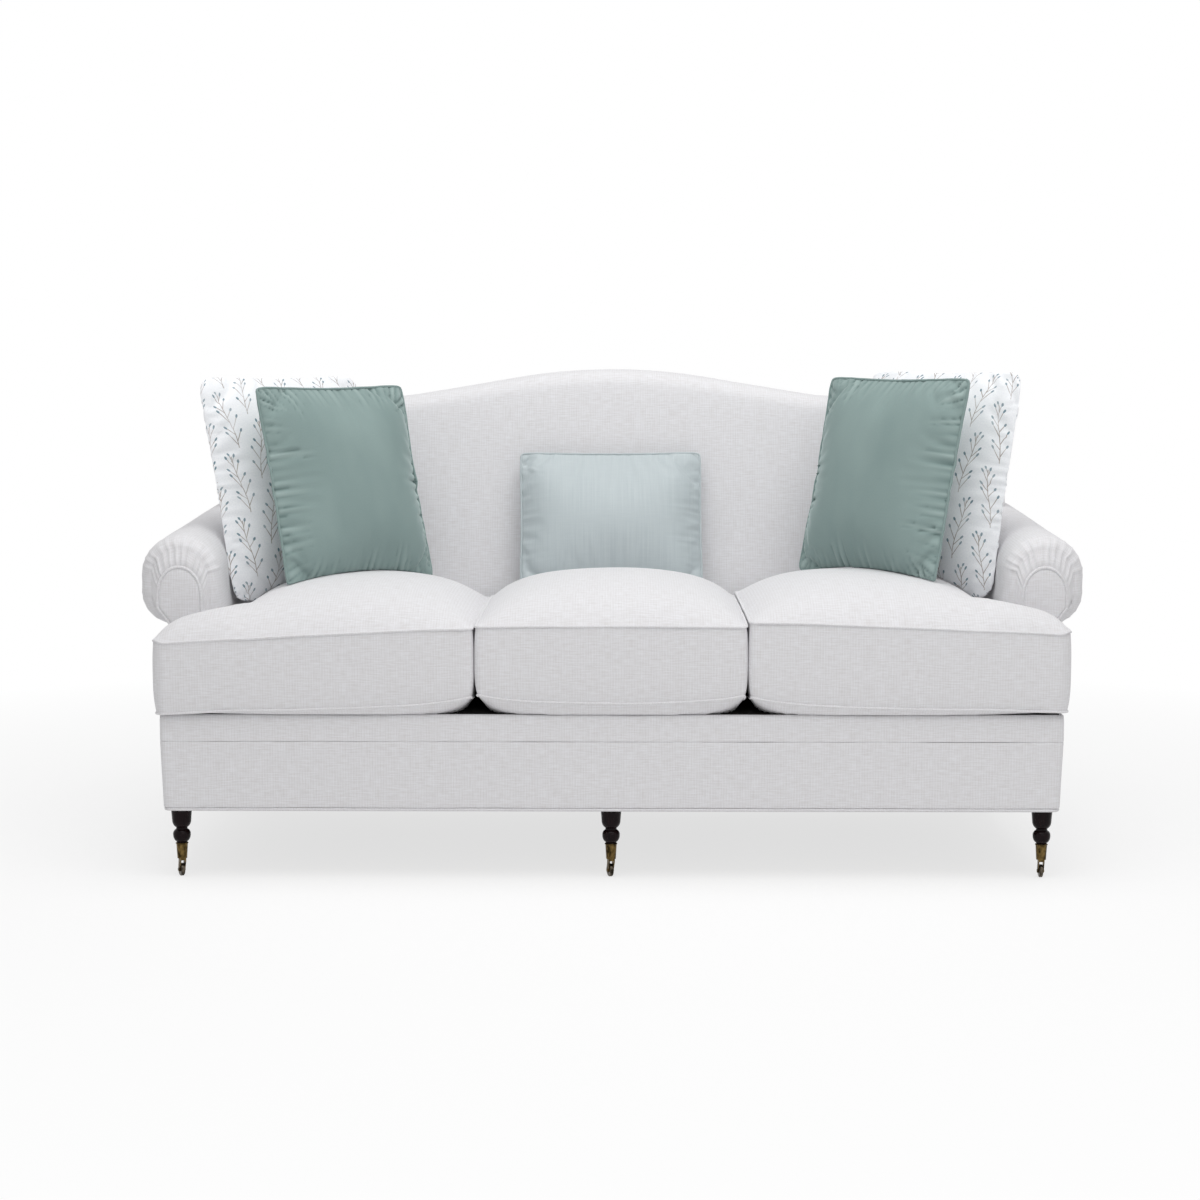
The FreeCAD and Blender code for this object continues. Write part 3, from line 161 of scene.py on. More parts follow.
# Satin-faced cotton: long smooth warp floats, so it has a soft gloss and fine upright lines

satin = {"colours": ("#B1BBBE", "#BBC4C6"), "float": (1.5, 120), "cross": (40, 3), "relief": 0.25}


def aquaSatin():
    material, tree, shader, place = startMaterial("aquaCottonSatin", {
        "Roughness": 0.48, "IOR": 1.5, "Specular IOR Level": 0.45, "Sheen Weight": 0.35,
        "Sheen Roughness": 0.4}, True)
    floats = stretchedNoise(tree, place, satin["float"])
    cross = stretchedNoise(tree, place, satin["cross"])
    weave = sumOf(tree, [(floats, 0.75), (cross, 0.25)])
    tintAndRaise(tree, shader, weave, (0.35, 0.65), satin["colours"], satin["relief"], 0.7)
    return material


# Printed cotton: a plain white weave with thin inked sprigs in a half-drop repeat

sprig = {
    "ground": ("#EFF1F5", "#FAFBFD"),
    "stemInk": (0.75, 0.35, "#A2968F", 0.5),    # reach, softness of the edge, colour, how faint it gets
    "leafInk": (0.9, 0.12, "#6E8893", 0.62),
    "tile": (55, 126),     # all in millimetres
    "stemSway": 3,
    "stemLean": 0.16,
    "stemHalf": 55,
    "leaf": (9, 4.6),
    "thread": (3, 3),      # coarser than the real weave, so that it shows
    "inkPatch": (26, 26),
    "shoots": [(-50, 1, 30, 24), (-43, -1, 36, 21), (-30, 1, 44, 17), (-20, -1, 34, 26), (-6, 1, 32, 25),
               (4, -1, 42, 16), (14, 1, 40, 17), (22, -1, 28, 22), (34, 1, 26, 18), (42, -1, 24, 12),
               (49, 1, 20, 8)],   # height on the stem, side, angle, length
}


def tilePlace(tree, place):
    # millimetres across and up from the middle of the tile, where every other column hangs half a tile lower and
    # mirrored; and aside of the main stem, which sways, and past its ends, which are kept inside the tile
    wide, high = sprig["tile"]
    split = addNode(tree, "SeparateXYZ", {0: place})
    found = {"u": split.outputs[0], "v": split.outputs[1]}
    for name, operation, *inputs in (
            ("column", "MULTIPLY", "u", 1000 / wide),
            ("row", "MULTIPLY", "v", 1000 / high),
            ("whole", "FLOOR", "column"),
            ("odd", "PINGPONG", "whole", 1.0),
            ("dropped", "MULTIPLY_ADD", "odd", 0.5, "row"),
            ("across", "FRACT", "column"),
            ("across", "MULTIPLY_ADD", "across", wide, -wide / 2),
            ("upwards", "FRACT", "dropped"),
            ("upwards", "MULTIPLY_ADD", "upwards", high, -high / 2),
            ("flip", "MULTIPLY_ADD", "odd", -2.0, 1.0),
            ("across", "MULTIPLY", "across", "flip"),
            ("across", "MULTIPLY_ADD", "upwards", -sprig["stemLean"], "across"),
            ("phase", "MULTIPLY", "upwards", 2 * math.pi / high),
            ("sway", "SINE", "phase"),
            ("aside", "MULTIPLY_ADD", "sway", -sprig["stemSway"], "across"),
            ("level", "ABSOLUTE", "upwards"),
            ("past", "SUBTRACT", "level", sprig["stemHalf"]),
            ("past", "MAXIMUM", "past", 0.0)):
        inputs = {number: found.get(value, value) for number, value in enumerate(inputs)}
        found[name] = addNode(tree, "Math", {"operation": operation, **inputs})
    return found


def lengthOf(tree, across, upwards):
    offset = addNode(tree, "CombineXYZ", {0: across, 1: upwards})
    return addNode(tree, "VectorMath", {"operation": "LENGTH", 0: offset}).outputs["Value"]


def printedCotton():
    material, tree, shader, place = startMaterial("sprigPrintedCotton", {
        "Roughness": 0.85, "IOR": 1.45, "Specular IOR Level": 0.3, "Sheen Weight": 0.15,
        "Sheen Roughness": 0.5}, True)
    found = tilePlace(tree, place)
    point = addNode(tree, "CombineXYZ", {0: found["across"], 1: found["upwards"]})
    stems, leaves = [lengthOf(tree, found["aside"], found["past"])], []
    leafLong, leafWide = sprig["leaf"]
    for height, side, angle, length in sprig["shoots"]:
        foot = Vector((sprig["stemSway"] * math.sin(2 * math.pi * height / sprig["tile"][1]), height, 0))
        way = Vector((side * math.sin(math.radians(angle)), math.cos(math.radians(angle)), 0))
        fromFoot = addNode(tree, "VectorMath", {"operation": "SUBTRACT", 0: point, 1: foot})
        along, aside = [addNode(tree, "VectorMath", {"operation": "DOT_PRODUCT", 0: fromFoot, 1: axis}).outputs[1]
                        for axis in (way, Vector((way.y, -way.x, 0)))]
        held = addNode(tree, "Clamp", {"Min": 0.0, "Max": float(length), "Value": along})
        rest = addNode(tree, "Math", {"operation": "SUBTRACT", 0: along, 1: held})
        stems.append(lengthOf(tree, rest, aside))
        beyond = addNode(tree, "Math", {"operation": "SUBTRACT", 0: along, 1: length + leafLong / 2})
        beyond = addNode(tree, "Math", {"operation": "MULTIPLY", 0: beyond, 1: 2 / leafLong})
        slim = addNode(tree, "Math", {"operation": "MULTIPLY", 0: aside, 1: 2 / leafWide})
        leaves.append(lengthOf(tree, beyond, slim))
    weave = stretchedNoise(tree, place, sprig["thread"])
    ink = stretchedNoise(tree, place, sprig["inkPatch"])
    colour = tintAndRaise(tree, shader, weave, (0.3, 0.7), sprig["ground"], 0.2, 0.6)
    for lines, (reach, softness, code, faint) in ((stems, sprig["stemInk"]), (leaves, sprig["leafInk"])):
        near = lines[0]
        for line in lines[1:]:
            near = addNode(tree, "Math", {"operation": "MINIMUM", 0: near, 1: line})
        mask = addNode(tree, "MapRange", {"From Min": reach + softness, "From Max": reach - softness,
                                          "Value": near})
        amount = addNode(tree, "MapRange", {"From Min": 0.3, "From Max": 0.6, "To Min": faint, "Value": ink})
        share = addNode(tree, "Math", {"operation": "MULTIPLY", 0: mask, 1: amount})
        colour = addNode(tree, "Mix", {"data_type": "RGBA", 0: share, 6: colour, 7: code}).outputs[2]
    tree.links.new(colour, shader.inputs["Base Color"])
    return material


# The other materials show one grain each

def grained(name, shading, sizes, detail, span, colours, relief, strength=1.0):
    material, tree, shader, place = startMaterial(name, shading)
    grain = stretchedNoise(tree, place, sizes, detail)
    tintAndRaise(tree, shader, grain, span, colours, relief, strength)
    return material, tree, shader, grain


def antiqueBrass(name, dark, bright):
    # cast brass, blackened in its hollows and rubbed bright on its edges
    material, tree, shader, tarnish = grained(name, {"Metallic": 1.0}, (7, 7, 11), 4, (0.36, 0.64), (dark, bright),
                                              0.1, 0.4)
    rough = addNode(tree, "MapRange", {"From Min": 0.3, "From Max": 0.7, "To Min": 0.5, "To Max": 0.26,
                                       "Value": tarnish})
    tree.links.new(rough.outputs[0], shader.inputs["Roughness"])
    return material


def plainCloth(name, low, high, thread):
    # cloths inside and below: a near-black lining, jute webbing and batting, all dry and matt
    material, tree, shader, place = startMaterial(name, {"Roughness": 0.95, "IOR": 1.45, "Specular IOR Level": 0.2})
    run = thread * 14
    weave = sumOf(tree, [(stretchedNoise(tree, place, (thread, run, run)), 0.5),
                         (stretchedNoise(tree, place, (run, thread, thread)), 0.5)])
    tintAndRaise(tree, shader, weave, (0.35, 0.65), (low, high), 0.3, 0.7)
    return material


materials = {
    "upholstery_linen": wovenLinen(),
    "sage_velvet": cutVelvet(),
    "aqua_satin": aquaSatin(),
    "printed_cotton": printedCotton(),
    # beech stained black and lacquered: nearly black with a red-brown grain, and a wet gloss
    "ebonised_wood": grained("ebonisedBeech", {"Roughness": 0.22, "IOR": 1.5, "Specular IOR Level": 0.1},
                             (1.6, 1.6, 40), 3, (0.35, 0.7), ("#0E090B", "#1E1012"), 0.08, 0.5)[0],
    # sawn hardwood: pale brown with a straight grain, dry and matt
    "frame_wood": grained("sawnHardwood", {"Roughness": 0.75, "IOR": 1.5}, (160, 5, 5), 3, (0.35, 0.65),
                          ("#A07F58", "#C3A27A"), 0.3, 0.5)[0],
    "antique_brass": antiqueBrass("antiqueCastBrass", "#2C2311", "#74603A"),
    "dark_brass": antiqueBrass("wornDarkBrass", "#1C1813", "#625A4F"),
    # drawn wire and pressed clips: dark grey with a blue cast, from the oil on them
    "spring_steel": grained("oiledSpringSteel", {"Metallic": 1.0, "Roughness": 0.42}, (9, 9, 9), 3, (0.35, 0.65),
                            ("#4A4D52", "#767A80"), 0)[0],
    "lining_cloth": plainCloth("charcoalLining", "#161515", "#242221", 2.0),
    "padding": plainCloth("cottonBatting", "#D8D0BE", "#E6DFCF", 6.0),
    "webbing": plainCloth("juteWebbing", "#7F7055", "#A39270", 3.0),
}
for subpart in frame["record"]["subparts"]:
    node = frame["nodes"][subpart["node"]]
    node.data.materials.clear()
    node.data.materials.append(materials[subpart["material_slot"]])
print("materials made:", len(materials))


# Mesh building

def lineBetween(start, end, count):
    # points on a straight line, without its end
    start, end = np.array(start), np.array(end)
    return [start + (end - start) * part / count for part in range(count)]


def straight(start, end, step):
    # points about every step between two ends, without them
    return lineBetween(start, end, int(np.linalg.norm(np.array(end) - np.array(start)) / step) + 1)[1:]


def roundedLoop(corners, step):
    # closed (n, 2) outline through corners (u, v, radius), sampled about every step
    points = []
    for number, (u, v, radius) in enumerate(corners):
        here = np.array((u, v))
        before = here - np.array(corners[number - 1][:2])
        after = np.array(corners[(number + 1) % len(corners)][:2]) - here
        arrive, leave = before / np.linalg.norm(before), after / np.linalg.norm(after)
        turn = math.atan2(arrive[0] * leave[1] - arrive[1] * leave[0], float(arrive @ leave))
        start = here - arrive * (radius * math.tan(abs(turn) / 2))
        if points:
            points += straight(points[-1], start, step)
        centre = start + np.array((-arrive[1], arrive[0])) * radius * math.copysign(1, turn)
        x, y = start - centre
        count = max(2, int(abs(turn) * radius / step * 1.5) + 3) if radius > 0 else 1
        for part in range(count):
            angle = turn * part / max(count - 1, 1)
            points.append(centre + np.array((x * math.cos(angle) - y * math.sin(angle),
                                             x * math.sin(angle) + y * math.cos(angle))))
    points += straight(points[-1], points[0], step)
    return np.array([point for number, point in enumerate(points)
                     if np.linalg.norm(point - points[number - 1]) > 1e-6])


def inwards(loop, distance):
    # the closed outline moved inwards, where it runs anticlockwise
    edge = np.roll(loop, -1, 0) - loop
    edge /= np.linalg.norm(edge, axis=1)[:, None] + 1e-12
    normal = np.stack((-edge[:, 1], edge[:, 0]), 1)
    before = np.roll(normal, 1, 0)
    return loop + (normal + before) / (1 + (normal * before).sum(1))[:, None] * distance


def newPiece(name, points, faces, corners=None):
    # corners holds the place on the cloth of every face corner; without it the cloth is laid on from the side
    # that a face looks to
    mesh = bpy.data.meshes.new(name)
    mesh.from_pydata(np.asarray(points, float).tolist(), [], faces)
    mesh.update()
    if corners is None:
        corners = []
        at = np.asarray(points, float)
        for polygon in mesh.polygons:
            facing = [abs(value) for value in polygon.normal]
            axes = ((1, 2), (0, 2), (0, 1))[facing.index(max(facing))]
            corners += [(at[vertex][axes[0]], at[vertex][axes[1]]) for vertex in polygon.vertices]
    layer = mesh.uv_layers.new(name="cloth")
    layer.uv.foreach_set("vector", np.asarray(corners, np.float32).ravel())
    mesh.polygons.foreach_set("use_smooth", [True] * len(mesh.polygons))
    mesh.set_sharp_from_angle(angle=math.radians(55))
    piece = bpy.data.objects.new(name, mesh)
    bpy.context.scene.collection.objects.link(piece)
    return piece


def finishPiece(piece, replaces, body="frame", slot="upholstery_linen"):
    piece.data.materials.clear()
    piece.data.materials.append(materials[slot])
    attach(piece, body)
    if replaces:
        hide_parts(*replaces)


def loft(name, rows, caps=(True, True), alongCloth=True):
    # skin through closed rows of points, each row with as many as the others
    rows = np.asarray(rows, float)
    count, size = rows.shape[:2]
    steps = np.linalg.norm(np.diff(np.concatenate((rows, rows[:, :1]), 1), axis=1), axis=2)
    around = np.concatenate(([0], np.cumsum(steps[steps.sum(1).argmax()])))
    rise = np.linalg.norm(np.diff(rows, axis=0), axis=2).mean(1)
    along = np.concatenate(([0], np.cumsum(rise)))
    faces, corners = [], []
    for row in range(count - 1):
        for spot in range(size):
            after = (spot + 1) % size
            faces.append((row * size + spot, row * size + after, (row + 1) * size + after, (row + 1) * size + spot))
            corners += [(around[spot], along[row]), (around[spot + 1], along[row]),
                        (around[spot + 1], along[row + 1]), (around[spot], along[row + 1])]
    for number, wanted, way in ((0, caps[0], -1), (count - 1, caps[1], 1)):
        if wanted:
            spots = range(size)[::way]
            faces.append(tuple(number * size + spot for spot in spots))
            axes = sorted(np.argsort(np.ptp(rows[number], axis=0))[1:])
            corners += [tuple(rows[number][spot][axes]) for spot in spots]
    return newPiece(name, rows.reshape(-1, 3), faces, corners if alongCloth else None)


def readPoints(mesh):
    places = np.zeros(len(mesh.vertices) * 3)
    mesh.vertices.foreach_get("co", places)
    return places.reshape(-1, 3)


def pushOut(piece, amount):
    # moves each vertex along its normal by amount(index, place)
    mesh = piece.data
    places = readPoints(mesh)
    normals = np.zeros(len(mesh.vertices) * 3)
    mesh.vertex_normals.foreach_get("vector", normals)
    moves = np.array([amount(index, place) for index, place in enumerate(places)])
    mesh.vertices.foreach_set("co", (places + normals.reshape(-1, 3) * moves[:, None]).ravel())
    mesh.update()


def ripple(place, size, seed=0.0):
    # smooth noise between about -1 and 1, with waves as long as size
    return noise.noise(Vector((place[0] / size + seed, place[1] / size - seed, place[2] / size)))


def closest(first, last):
    # how far the first ring has to be turned on to lie beside the last one
    gaps = [sum((first[(spot + shift) % len(first)] - last[spot]).length for spot in range(len(first)))
            for shift in range(len(first))]
    return gaps.index(min(gaps))


def tube(name, path, radius, closed):
    # welt: a cord sewn into a strip of the same cloth
    path = [Vector(point) for point in path]
    count, sides = len(path), 8
    rows = []
    guide = Vector((0, 0, 1))
    for number, point in enumerate(path):
        before = path[number - 1] if closed or number else point
        after = path[(number + 1) % count] if closed or number < count - 1 else point
        ahead = (after - before).normalized()
        if abs(ahead.z) > 0.9:
            guide = Vector((0, 1, 0))
        elif abs(ahead.z) < 0.5:
            guide = Vector((0, 0, 1))
        side = ahead.cross(guide).normalized()
        if rows:   # keeps the rings from twisting where the guide changes
            side = (lastSide - ahead * lastSide.dot(ahead)).normalized()
        top = side.cross(ahead).normalized()
        lastSide = side
        rows.append([point + side * math.cos(turn) * radius + top * math.sin(turn) * radius
                     for turn in [2 * math.pi * part / sides for part in range(sides)]])
    if closed:
        shift = closest(rows[0], rows[-1])
        rows.append(rows[0][shift:] + rows[0][:shift])
    return loft(name, [[tuple(point) for point in row] for row in rows], (not closed, not closed))


def slab(name, outline, place, thickness, rounding, levels=2):
    # flat piece with rounded edges: place(u, v, w) puts a point of the outline at depth w
    turns = [math.radians(angle) for angle in (0, 30, 60, 90)]
    steps = [(rounding * (1 - math.sin(turn)), rounding * (1 - math.cos(turn))) for turn in turns]
    for level in range(1, levels):
        steps.append((0, rounding + (thickness - 2 * rounding) * level / levels))
    steps += [(inset, thickness - depth) for inset, depth in steps[3::-1]]
    rows = [[place(u, v, depth) for u, v in inwards(outline, inset)] for inset, depth in steps]
    return loft(name, rows, alongCloth=False)


# Camera, at the height and distance that the photograph was taken from

camera = {"place": (0.02, -4.95, 1.0), "target": (-0.021, -0.45, 0.545), "lens": 71.3}


def putAimed(name, data, place, target):
    # a camera or lamp that looks at the target
    thing = bpy.data.objects.new(name, data)
    thing.location = place
    thing.rotation_mode = "QUATERNION"
    thing.rotation_quaternion = (Vector(target) - Vector(place)).to_track_quat("-Z", "Y")
    bpy.context.scene.collection.objects.link(thing)
    return thing


def placeCamera():
    data = bpy.data.cameras.new("camera")
    data.lens = camera["lens"]
    data.sensor_width = 36
    data.clip_end = 60
    bpy.context.scene.camera = putAimed("camera", data, camera["place"], camera["target"])
    bpy.context.scene.view_settings.view_transform = "Standard"


placeCamera()
print("camera placed")


# Studio: white sky, a wide lamp overhead and a soft one in front

studio = {
    "sky": 0.5,
    "topLamp": ((0.2, -0.9, 3.4), 3.2, 70),     # place, size, power
    "frontLamp": ((1.4, -4.9, 2.4), 2.6, 18),
    "lampTarget": (0, 0, 0.5),
    "floor": "#F6F6F6",
    "floorSize": 30,
    "shadowReach": 1.3,
    "shadowEnd": 2.86,
    "glow": 0.72,
}


def seenByCamera(tree):
    # 1 for what the camera sees, also in a gloss or through glass, and 0 for light on its way to the sofa
    rays = addNode(tree, "LightPath")
    seen = addNode(tree, "Math", {"operation": "ADD", 0: rays.outputs["Is Camera Ray"],
                                  1: rays.outputs["Is Glossy Ray"]})
    return addNode(tree, "Math", {"operation": "ADD", "use_clamp": True, 0: seen,
                                  1: rays.outputs["Is Transmission Ray"]})


def lightStudio():
    world = bpy.data.worlds.new("studio")
    world.use_nodes = True
    tree = world.node_tree
    tree.nodes.clear()
    lamp = addNode(tree, "Background", {"Color": "#FFFFFF", "Strength": studio["sky"]})
    back = addNode(tree, "Background", {"Color": "#FFFFFF", "Strength": 1.0})
    mix = addNode(tree, "MixShader", {0: seenByCamera(tree), 1: lamp, 2: back})
    addNode(tree, "OutputWorld", {0: mix})
    bpy.context.scene.world = world
    for name in ("topLamp", "frontLamp"):
        place, size, power = studio[name]
        data = bpy.data.lights.new(name, "AREA")
        data.shape = "SQUARE"
        data.size = size
        data.energy = power
        putAimed(name, data, place, studio["lampTarget"])


def layFloor():
    half = studio["floorSize"] / 2
    floor = newPiece("floor", [(-half, -half, 0), (half, -half, 0), (half, half, 0), (-half, half, 0)],
                     [(0, 1, 2, 3)])
    material = bpy.data.materials.new("whiteStudioFloor")
    material.use_nodes = True
    tree = material.node_tree
    tree.nodes.clear()
    matt = addNode(tree, "BsdfDiffuse", {"Color": studio["floor"]})
    glow = addNode(tree, "Emission", {"Color": "#FFFFFF", "Strength": 1.0})
    # plain white far from the sofa, so that no horizon shows, and matt enough near it to keep the shadow
    place = addNode(tree, "TexCoord").outputs["Object"]
    away = addNode(tree, "VectorMath", {"operation": "LENGTH", 0: place}).outputs["Value"]
    fade = addNode(tree, "MapRange", {"From Min": studio["shadowReach"], "From Max": studio["shadowEnd"],
                                      "To Min": studio["glow"], "Value": away})
    share = addNode(tree, "Math", {"operation": "MULTIPLY", 0: seenByCamera(tree), 1: fade})
    mix = addNode(tree, "MixShader", {0: share, 1: matt, 2: glow})
    addNode(tree, "OutputMaterial", {"Surface": mix})
    floor.data.materials.append(material)


lightStudio()
layFloor()
print("studio lit")


# Seat base

borderLow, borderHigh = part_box("front_border")
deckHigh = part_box("deck_cloth")[1]
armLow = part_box("arm_cover_right")[0]
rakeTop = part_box("outside_back")[1]
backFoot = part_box("base_welt")[1].y
deckTop, seamHeight, bodyFoot = deckHigh.z, borderHigh.z, borderLow.z
bodyHalf, bodyFront, railFront = borderHigh.x, borderLow.y, borderHigh.y
sofaBack = rakeTop.y
outsideSlope = (sofaBack - backFoot) / (rakeTop.z - bodyFoot)

base = {
    "turn": 0.012,         # radius of the corners
    "step": 0.012,
    "levels": 14,
    "seamRounding": 0.0022,
    "lip": 0.01,
    "slack": 0.0009,
    "slackWave": 0.11,
    "taper": 0.005,
    "weltRadius": 0.0034,
    "weltStep": 0.02,
    "deckStep": 0.03,
    "deckRounding": 0.0015,
    "legRadius": 0.0205,
    "boltRadius": 0.004,
    "holeMargin": 0.0008,
    "sheetSpacing": 0.05,
    "sheetClearance": 0.008,   # between a line of the sheet and the edge of a hole
    "sheetSag": 0.002,
}


def clipped(value):
    return min(1, max(0, value))


def narrowed(z):
    # how much nearer to the middle the sides of the base come towards its foot
    return base["taper"] * clipped((seamHeight - z) / (seamHeight - bodyFoot))


def dressBase():
    def place(u, v, z):
        # the upper edge rolls back to the rail, and the sides lean in below the seam
        climb = clipped((z - deckTop) / base["lip"] + 1)
        inset = base["lip"] * (1 - math.sqrt(1 - climb ** 2))
        return (u * (1 - (narrowed(z) + inset) / bodyHalf),
                railFront + (v - railFront) * (1 - inset / (railFront - bodyFront)), z)

    turn, radius = base["turn"], base["weltRadius"]
    plan = roundedLoop([(-bodyHalf, bodyFront, turn), (bodyHalf, bodyFront, turn), (bodyHalf, railFront, 0),
                        (-bodyHalf, railFront, 0)], base["step"])
    for name, node, foot, top in (("border_cover", "front_border", bodyFoot, seamHeight),
                                  ("edge_band_cover", "front_edge_band", seamHeight, deckTop)):
        cover = slab(name, plan, lambda u, v, w, foot=foot: place(u, v, foot + w), top - foot,
                     base["seamRounding"], base["levels"])
        pushOut(cover, lambda index, place: base["slack"] * ripple(place, base["slackWave"]))
        finishPiece(cover, (node,))
    half, front, behind = bodyHalf - radius - base["taper"], bodyFront + radius, backFoot - radius
    path = roundedLoop([(-half, front, turn), (half, front, turn), (half, behind, turn), (-half, behind, turn)],
                       base["weltStep"])
    welt = tube("body_welt", [(u, v, bodyFoot - radius) for u, v in path], radius, True)
    finishPiece(welt, ("base_welt",))


def dressDeck():
    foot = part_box("deck_pad")[0].z
    inner, front, half, behind = armLow.x, armLow.y, deckHigh.x, deckHigh.y
    plan = roundedLoop([(u, v, 0) for u, v in (
        (-half, railFront), (half, railFront), (half, front), (inner, front), (inner, behind), (-inner, behind),
        (-inner, front), (-half, front))], base["deckStep"])
    deck = slab("deck_lining", plan, lambda u, v, w: (u, v, foot + w), deckTop - foot, base["deckRounding"])
    finishPiece(deck, ("deck_cloth", "deck_pad", "edge_roll"), slot="lining_cloth")


def tackDustCover():
    # thin cloth under the seat, cut out round the legs, sagging a little between its tacks
    low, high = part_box("dust_cover")
    legs, radius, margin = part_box("front_legs"), base["legRadius"], base["holeMargin"]
    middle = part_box("leg_bolts")[0].y + base["boltRadius"]
    holes = [(x - radius, x + radius, middle - radius, middle + radius)
             for x in (legs[0].x + radius, 0.0, legs[1].x - radius)]
    for name in ("left", "centre", "right"):
        corner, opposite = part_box(f"rear_leg_{name}")
        holes.append((corner.x, opposite.x, corner.y, opposite.y))
    holes = [(a - margin, b + margin, c - margin, d + margin) for a, b, c, d in holes]
    lines = []
    for axis in (0, 1):
        first, last = low[axis], high[axis]
        cuts = [hole[spot] for hole in holes for spot in (2 * axis, 2 * axis + 1)]
        count = int((last - first) / base["sheetSpacing"])
        even = [first + (last - first) * part / count for part in range(count + 1)]
        even = [value for value in even if all(abs(value - cut) > base["sheetClearance"] for cut in cuts)]
        lines.append(sorted(set(even + [cut for cut in cuts if first < cut < last])))
    across, deep = lines
    points = [(x, y, (low.z + high.z) / 2 - base["sheetSag"] * math.sin(math.pi * (x - low.x) / (high.x - low.x))
               * math.sin(math.pi * (y - low.y) / (high.y - low.y))) for y in deep for x in across]
    faces, area = [], 0
    for j in range(len(deep) - 1):
        for i in range(len(across) - 1):
            x, y = (across[i] + across[i + 1]) / 2, (deep[j] + deep[j + 1]) / 2
            if not any(a < x < b and c < y < d for a, b, c, d in holes):
                spot = j * len(across) + i
                faces.append((spot, spot + len(across), spot + len(across) + 1, spot + 1))
                area += (across[i + 1] - across[i]) * (deep[j + 1] - deep[j])
    cover = newPiece("dust_cover_cloth", points, faces)
    finishPiece(cover, ("dust_cover",), slot="lining_cloth")


dressBase()
dressDeck()
tackDustCover()
print("seat base dressed")


# Seat cushions: boxed covers with a welt round each edge, over a soft crown

seat = {
    "armGap": 0.001,
    "corner": 0.03,
    "innerCorner": 0.015,
    "earCorner": 0.012,
    "earOverlap": 0.05,    # how far in beside the arm the filling of the ear begins
    "drawnTo": (0.08, 0.01),   # the point that the rows draw in to, from the middle of the plan
    "step": 0.009,
    "weltRadius": 0.0026,
    "weltSink": 0.0002,
    "weltBend": 1.15,
    "weltSway": 0.0011,
    "top": {"left": (0.4875, 0.4555), "centre": (0.491, 0.491), "right": (0.5, 0.475)},    # welts, middle to arm
    "foot": {"left": (0.3615, 0.3235), "centre": (0.3665, 0.3665), "right": (0.3615, 0.331)},
    "belly": 0.0026,
    "crown": 0.084,
    "levelling": 0.6,      # how far the crown makes up for the fall of its welt
    "earCrown": 0.012,     # what the filling adds in front of the arm
    "earSpread": 0.02,
    "tuck": 0.006,         # how much smaller the foot of the boxing is drawn
    "edgeSpread": 0.05,    # how far in from the welts the filling rises, and how far the middle swells
    "middleSpread": 0.22,
    "edgeShare": 0.6,
    "deckGap": 0.0006,
    "footShare": 0.13,     # where the foot has come down to the deck
    "footBend": 0.75,
    "cell": 0.012,
    "rounds": 1500,
    "levels": 12,
    "rings": (0.0, 0.006, 0.014, 0.026, 0.042, 0.062, 0.088, 0.12, 0.16, 0.21, 0.27, 0.34, 0.42, 0.51, 0.61, 0.72,
              0.84, 0.96),
    "waves": 0.0014,
    "waveLength": 0.14,
    "boxingWaves": 0.4,
    "waveFoot": 0.4,       # no waves below this height
}
cushionTops = {}


def membrane(rectangles, spread):
    # shape of a stuffed skin over the plan, from 0 at its edge to 1, flat beyond the filling's spread
    cell = seat["cell"]
    lowX, lowY = min(r[0] for r in rectangles), min(r[2] for r in rectangles)
    across = int(round((max(r[1] for r in rectangles) - lowX) / cell)) + 1
    deep = int(round((max(r[3] for r in rectangles) - lowY) / cell)) + 1
    x, y = lowX + np.arange(across) * cell, lowY + np.arange(deep) * cell
    inside = np.zeros((deep, across), bool)
    for left, right, front, behind in rectangles:
        inside |= (((x > left + 1e-6) & (x < right - 1e-6))[None, :]
                   & ((y > front + 1e-6) & (y < behind - 1e-6))[:, None])
    height = inside.astype(float)
    hold = (cell / spread) ** 2 / 4
    for _ in range(seat["rounds"]):
        around = np.zeros_like(height)
        around[1:-1, 1:-1] = (height[:-2, 1:-1] + height[2:, 1:-1] + height[1:-1, :-2] + height[1:-1, 2:]) / 4
        height = np.where(inside, (around + hold) / (1 + hold), 0)
    height /= height.max()

    def sample(u, v):
        column = min(max((u - lowX) / cell, 0), across - 1.001)
        row = min(max((v - lowY) / cell, 0), deep - 1.001)
        i, j = int(column), int(row)
        a, b = column - i, row - j
        return ((height[j, i] * (1 - a) + height[j, i + 1] * a) * (1 - b)
                + (height[j + 1, i] * (1 - a) + height[j + 1, i + 1] * a) * b)
    return sample


def cushionPlan(name):
    # corners of the plan on the right or in the middle, its rectangles, and the point that the rows draw in to
    low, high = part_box("seat_cushion_right" if name != "centre" else "seat_cushion_centre")
    corner, inner = seat["corner"], seat["innerCorner"]
    if name == "centre":
        corners = [(low.x, low.y, inner), (high.x, low.y, inner), (high.x, high.y, inner), (low.x, high.y, inner)]
        return corners, [(low.x, high.x, low.y, high.y)], ((low.x + high.x) / 2, (low.y + high.y) / 2)
    besideArm, ear = armLow.x - seat["armGap"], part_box("facing_welt_right")[0].y - seat["armGap"]
    corners = [(low.x, low.y, inner), (high.x, low.y, corner), (high.x, ear, corner),
               (besideArm, ear, seat["earCorner"]), (besideArm, high.y, corner), (low.x, high.y, inner)]
    rectangles = [(low.x, besideArm, low.y, high.y), (besideArm - seat["earOverlap"], high.x, low.y, ear)]
    aside, behind = seat["drawnTo"]
    return corners, rectangles, ((low.x + besideArm) / 2 + aside, (low.y + ear) / 2 + behind)


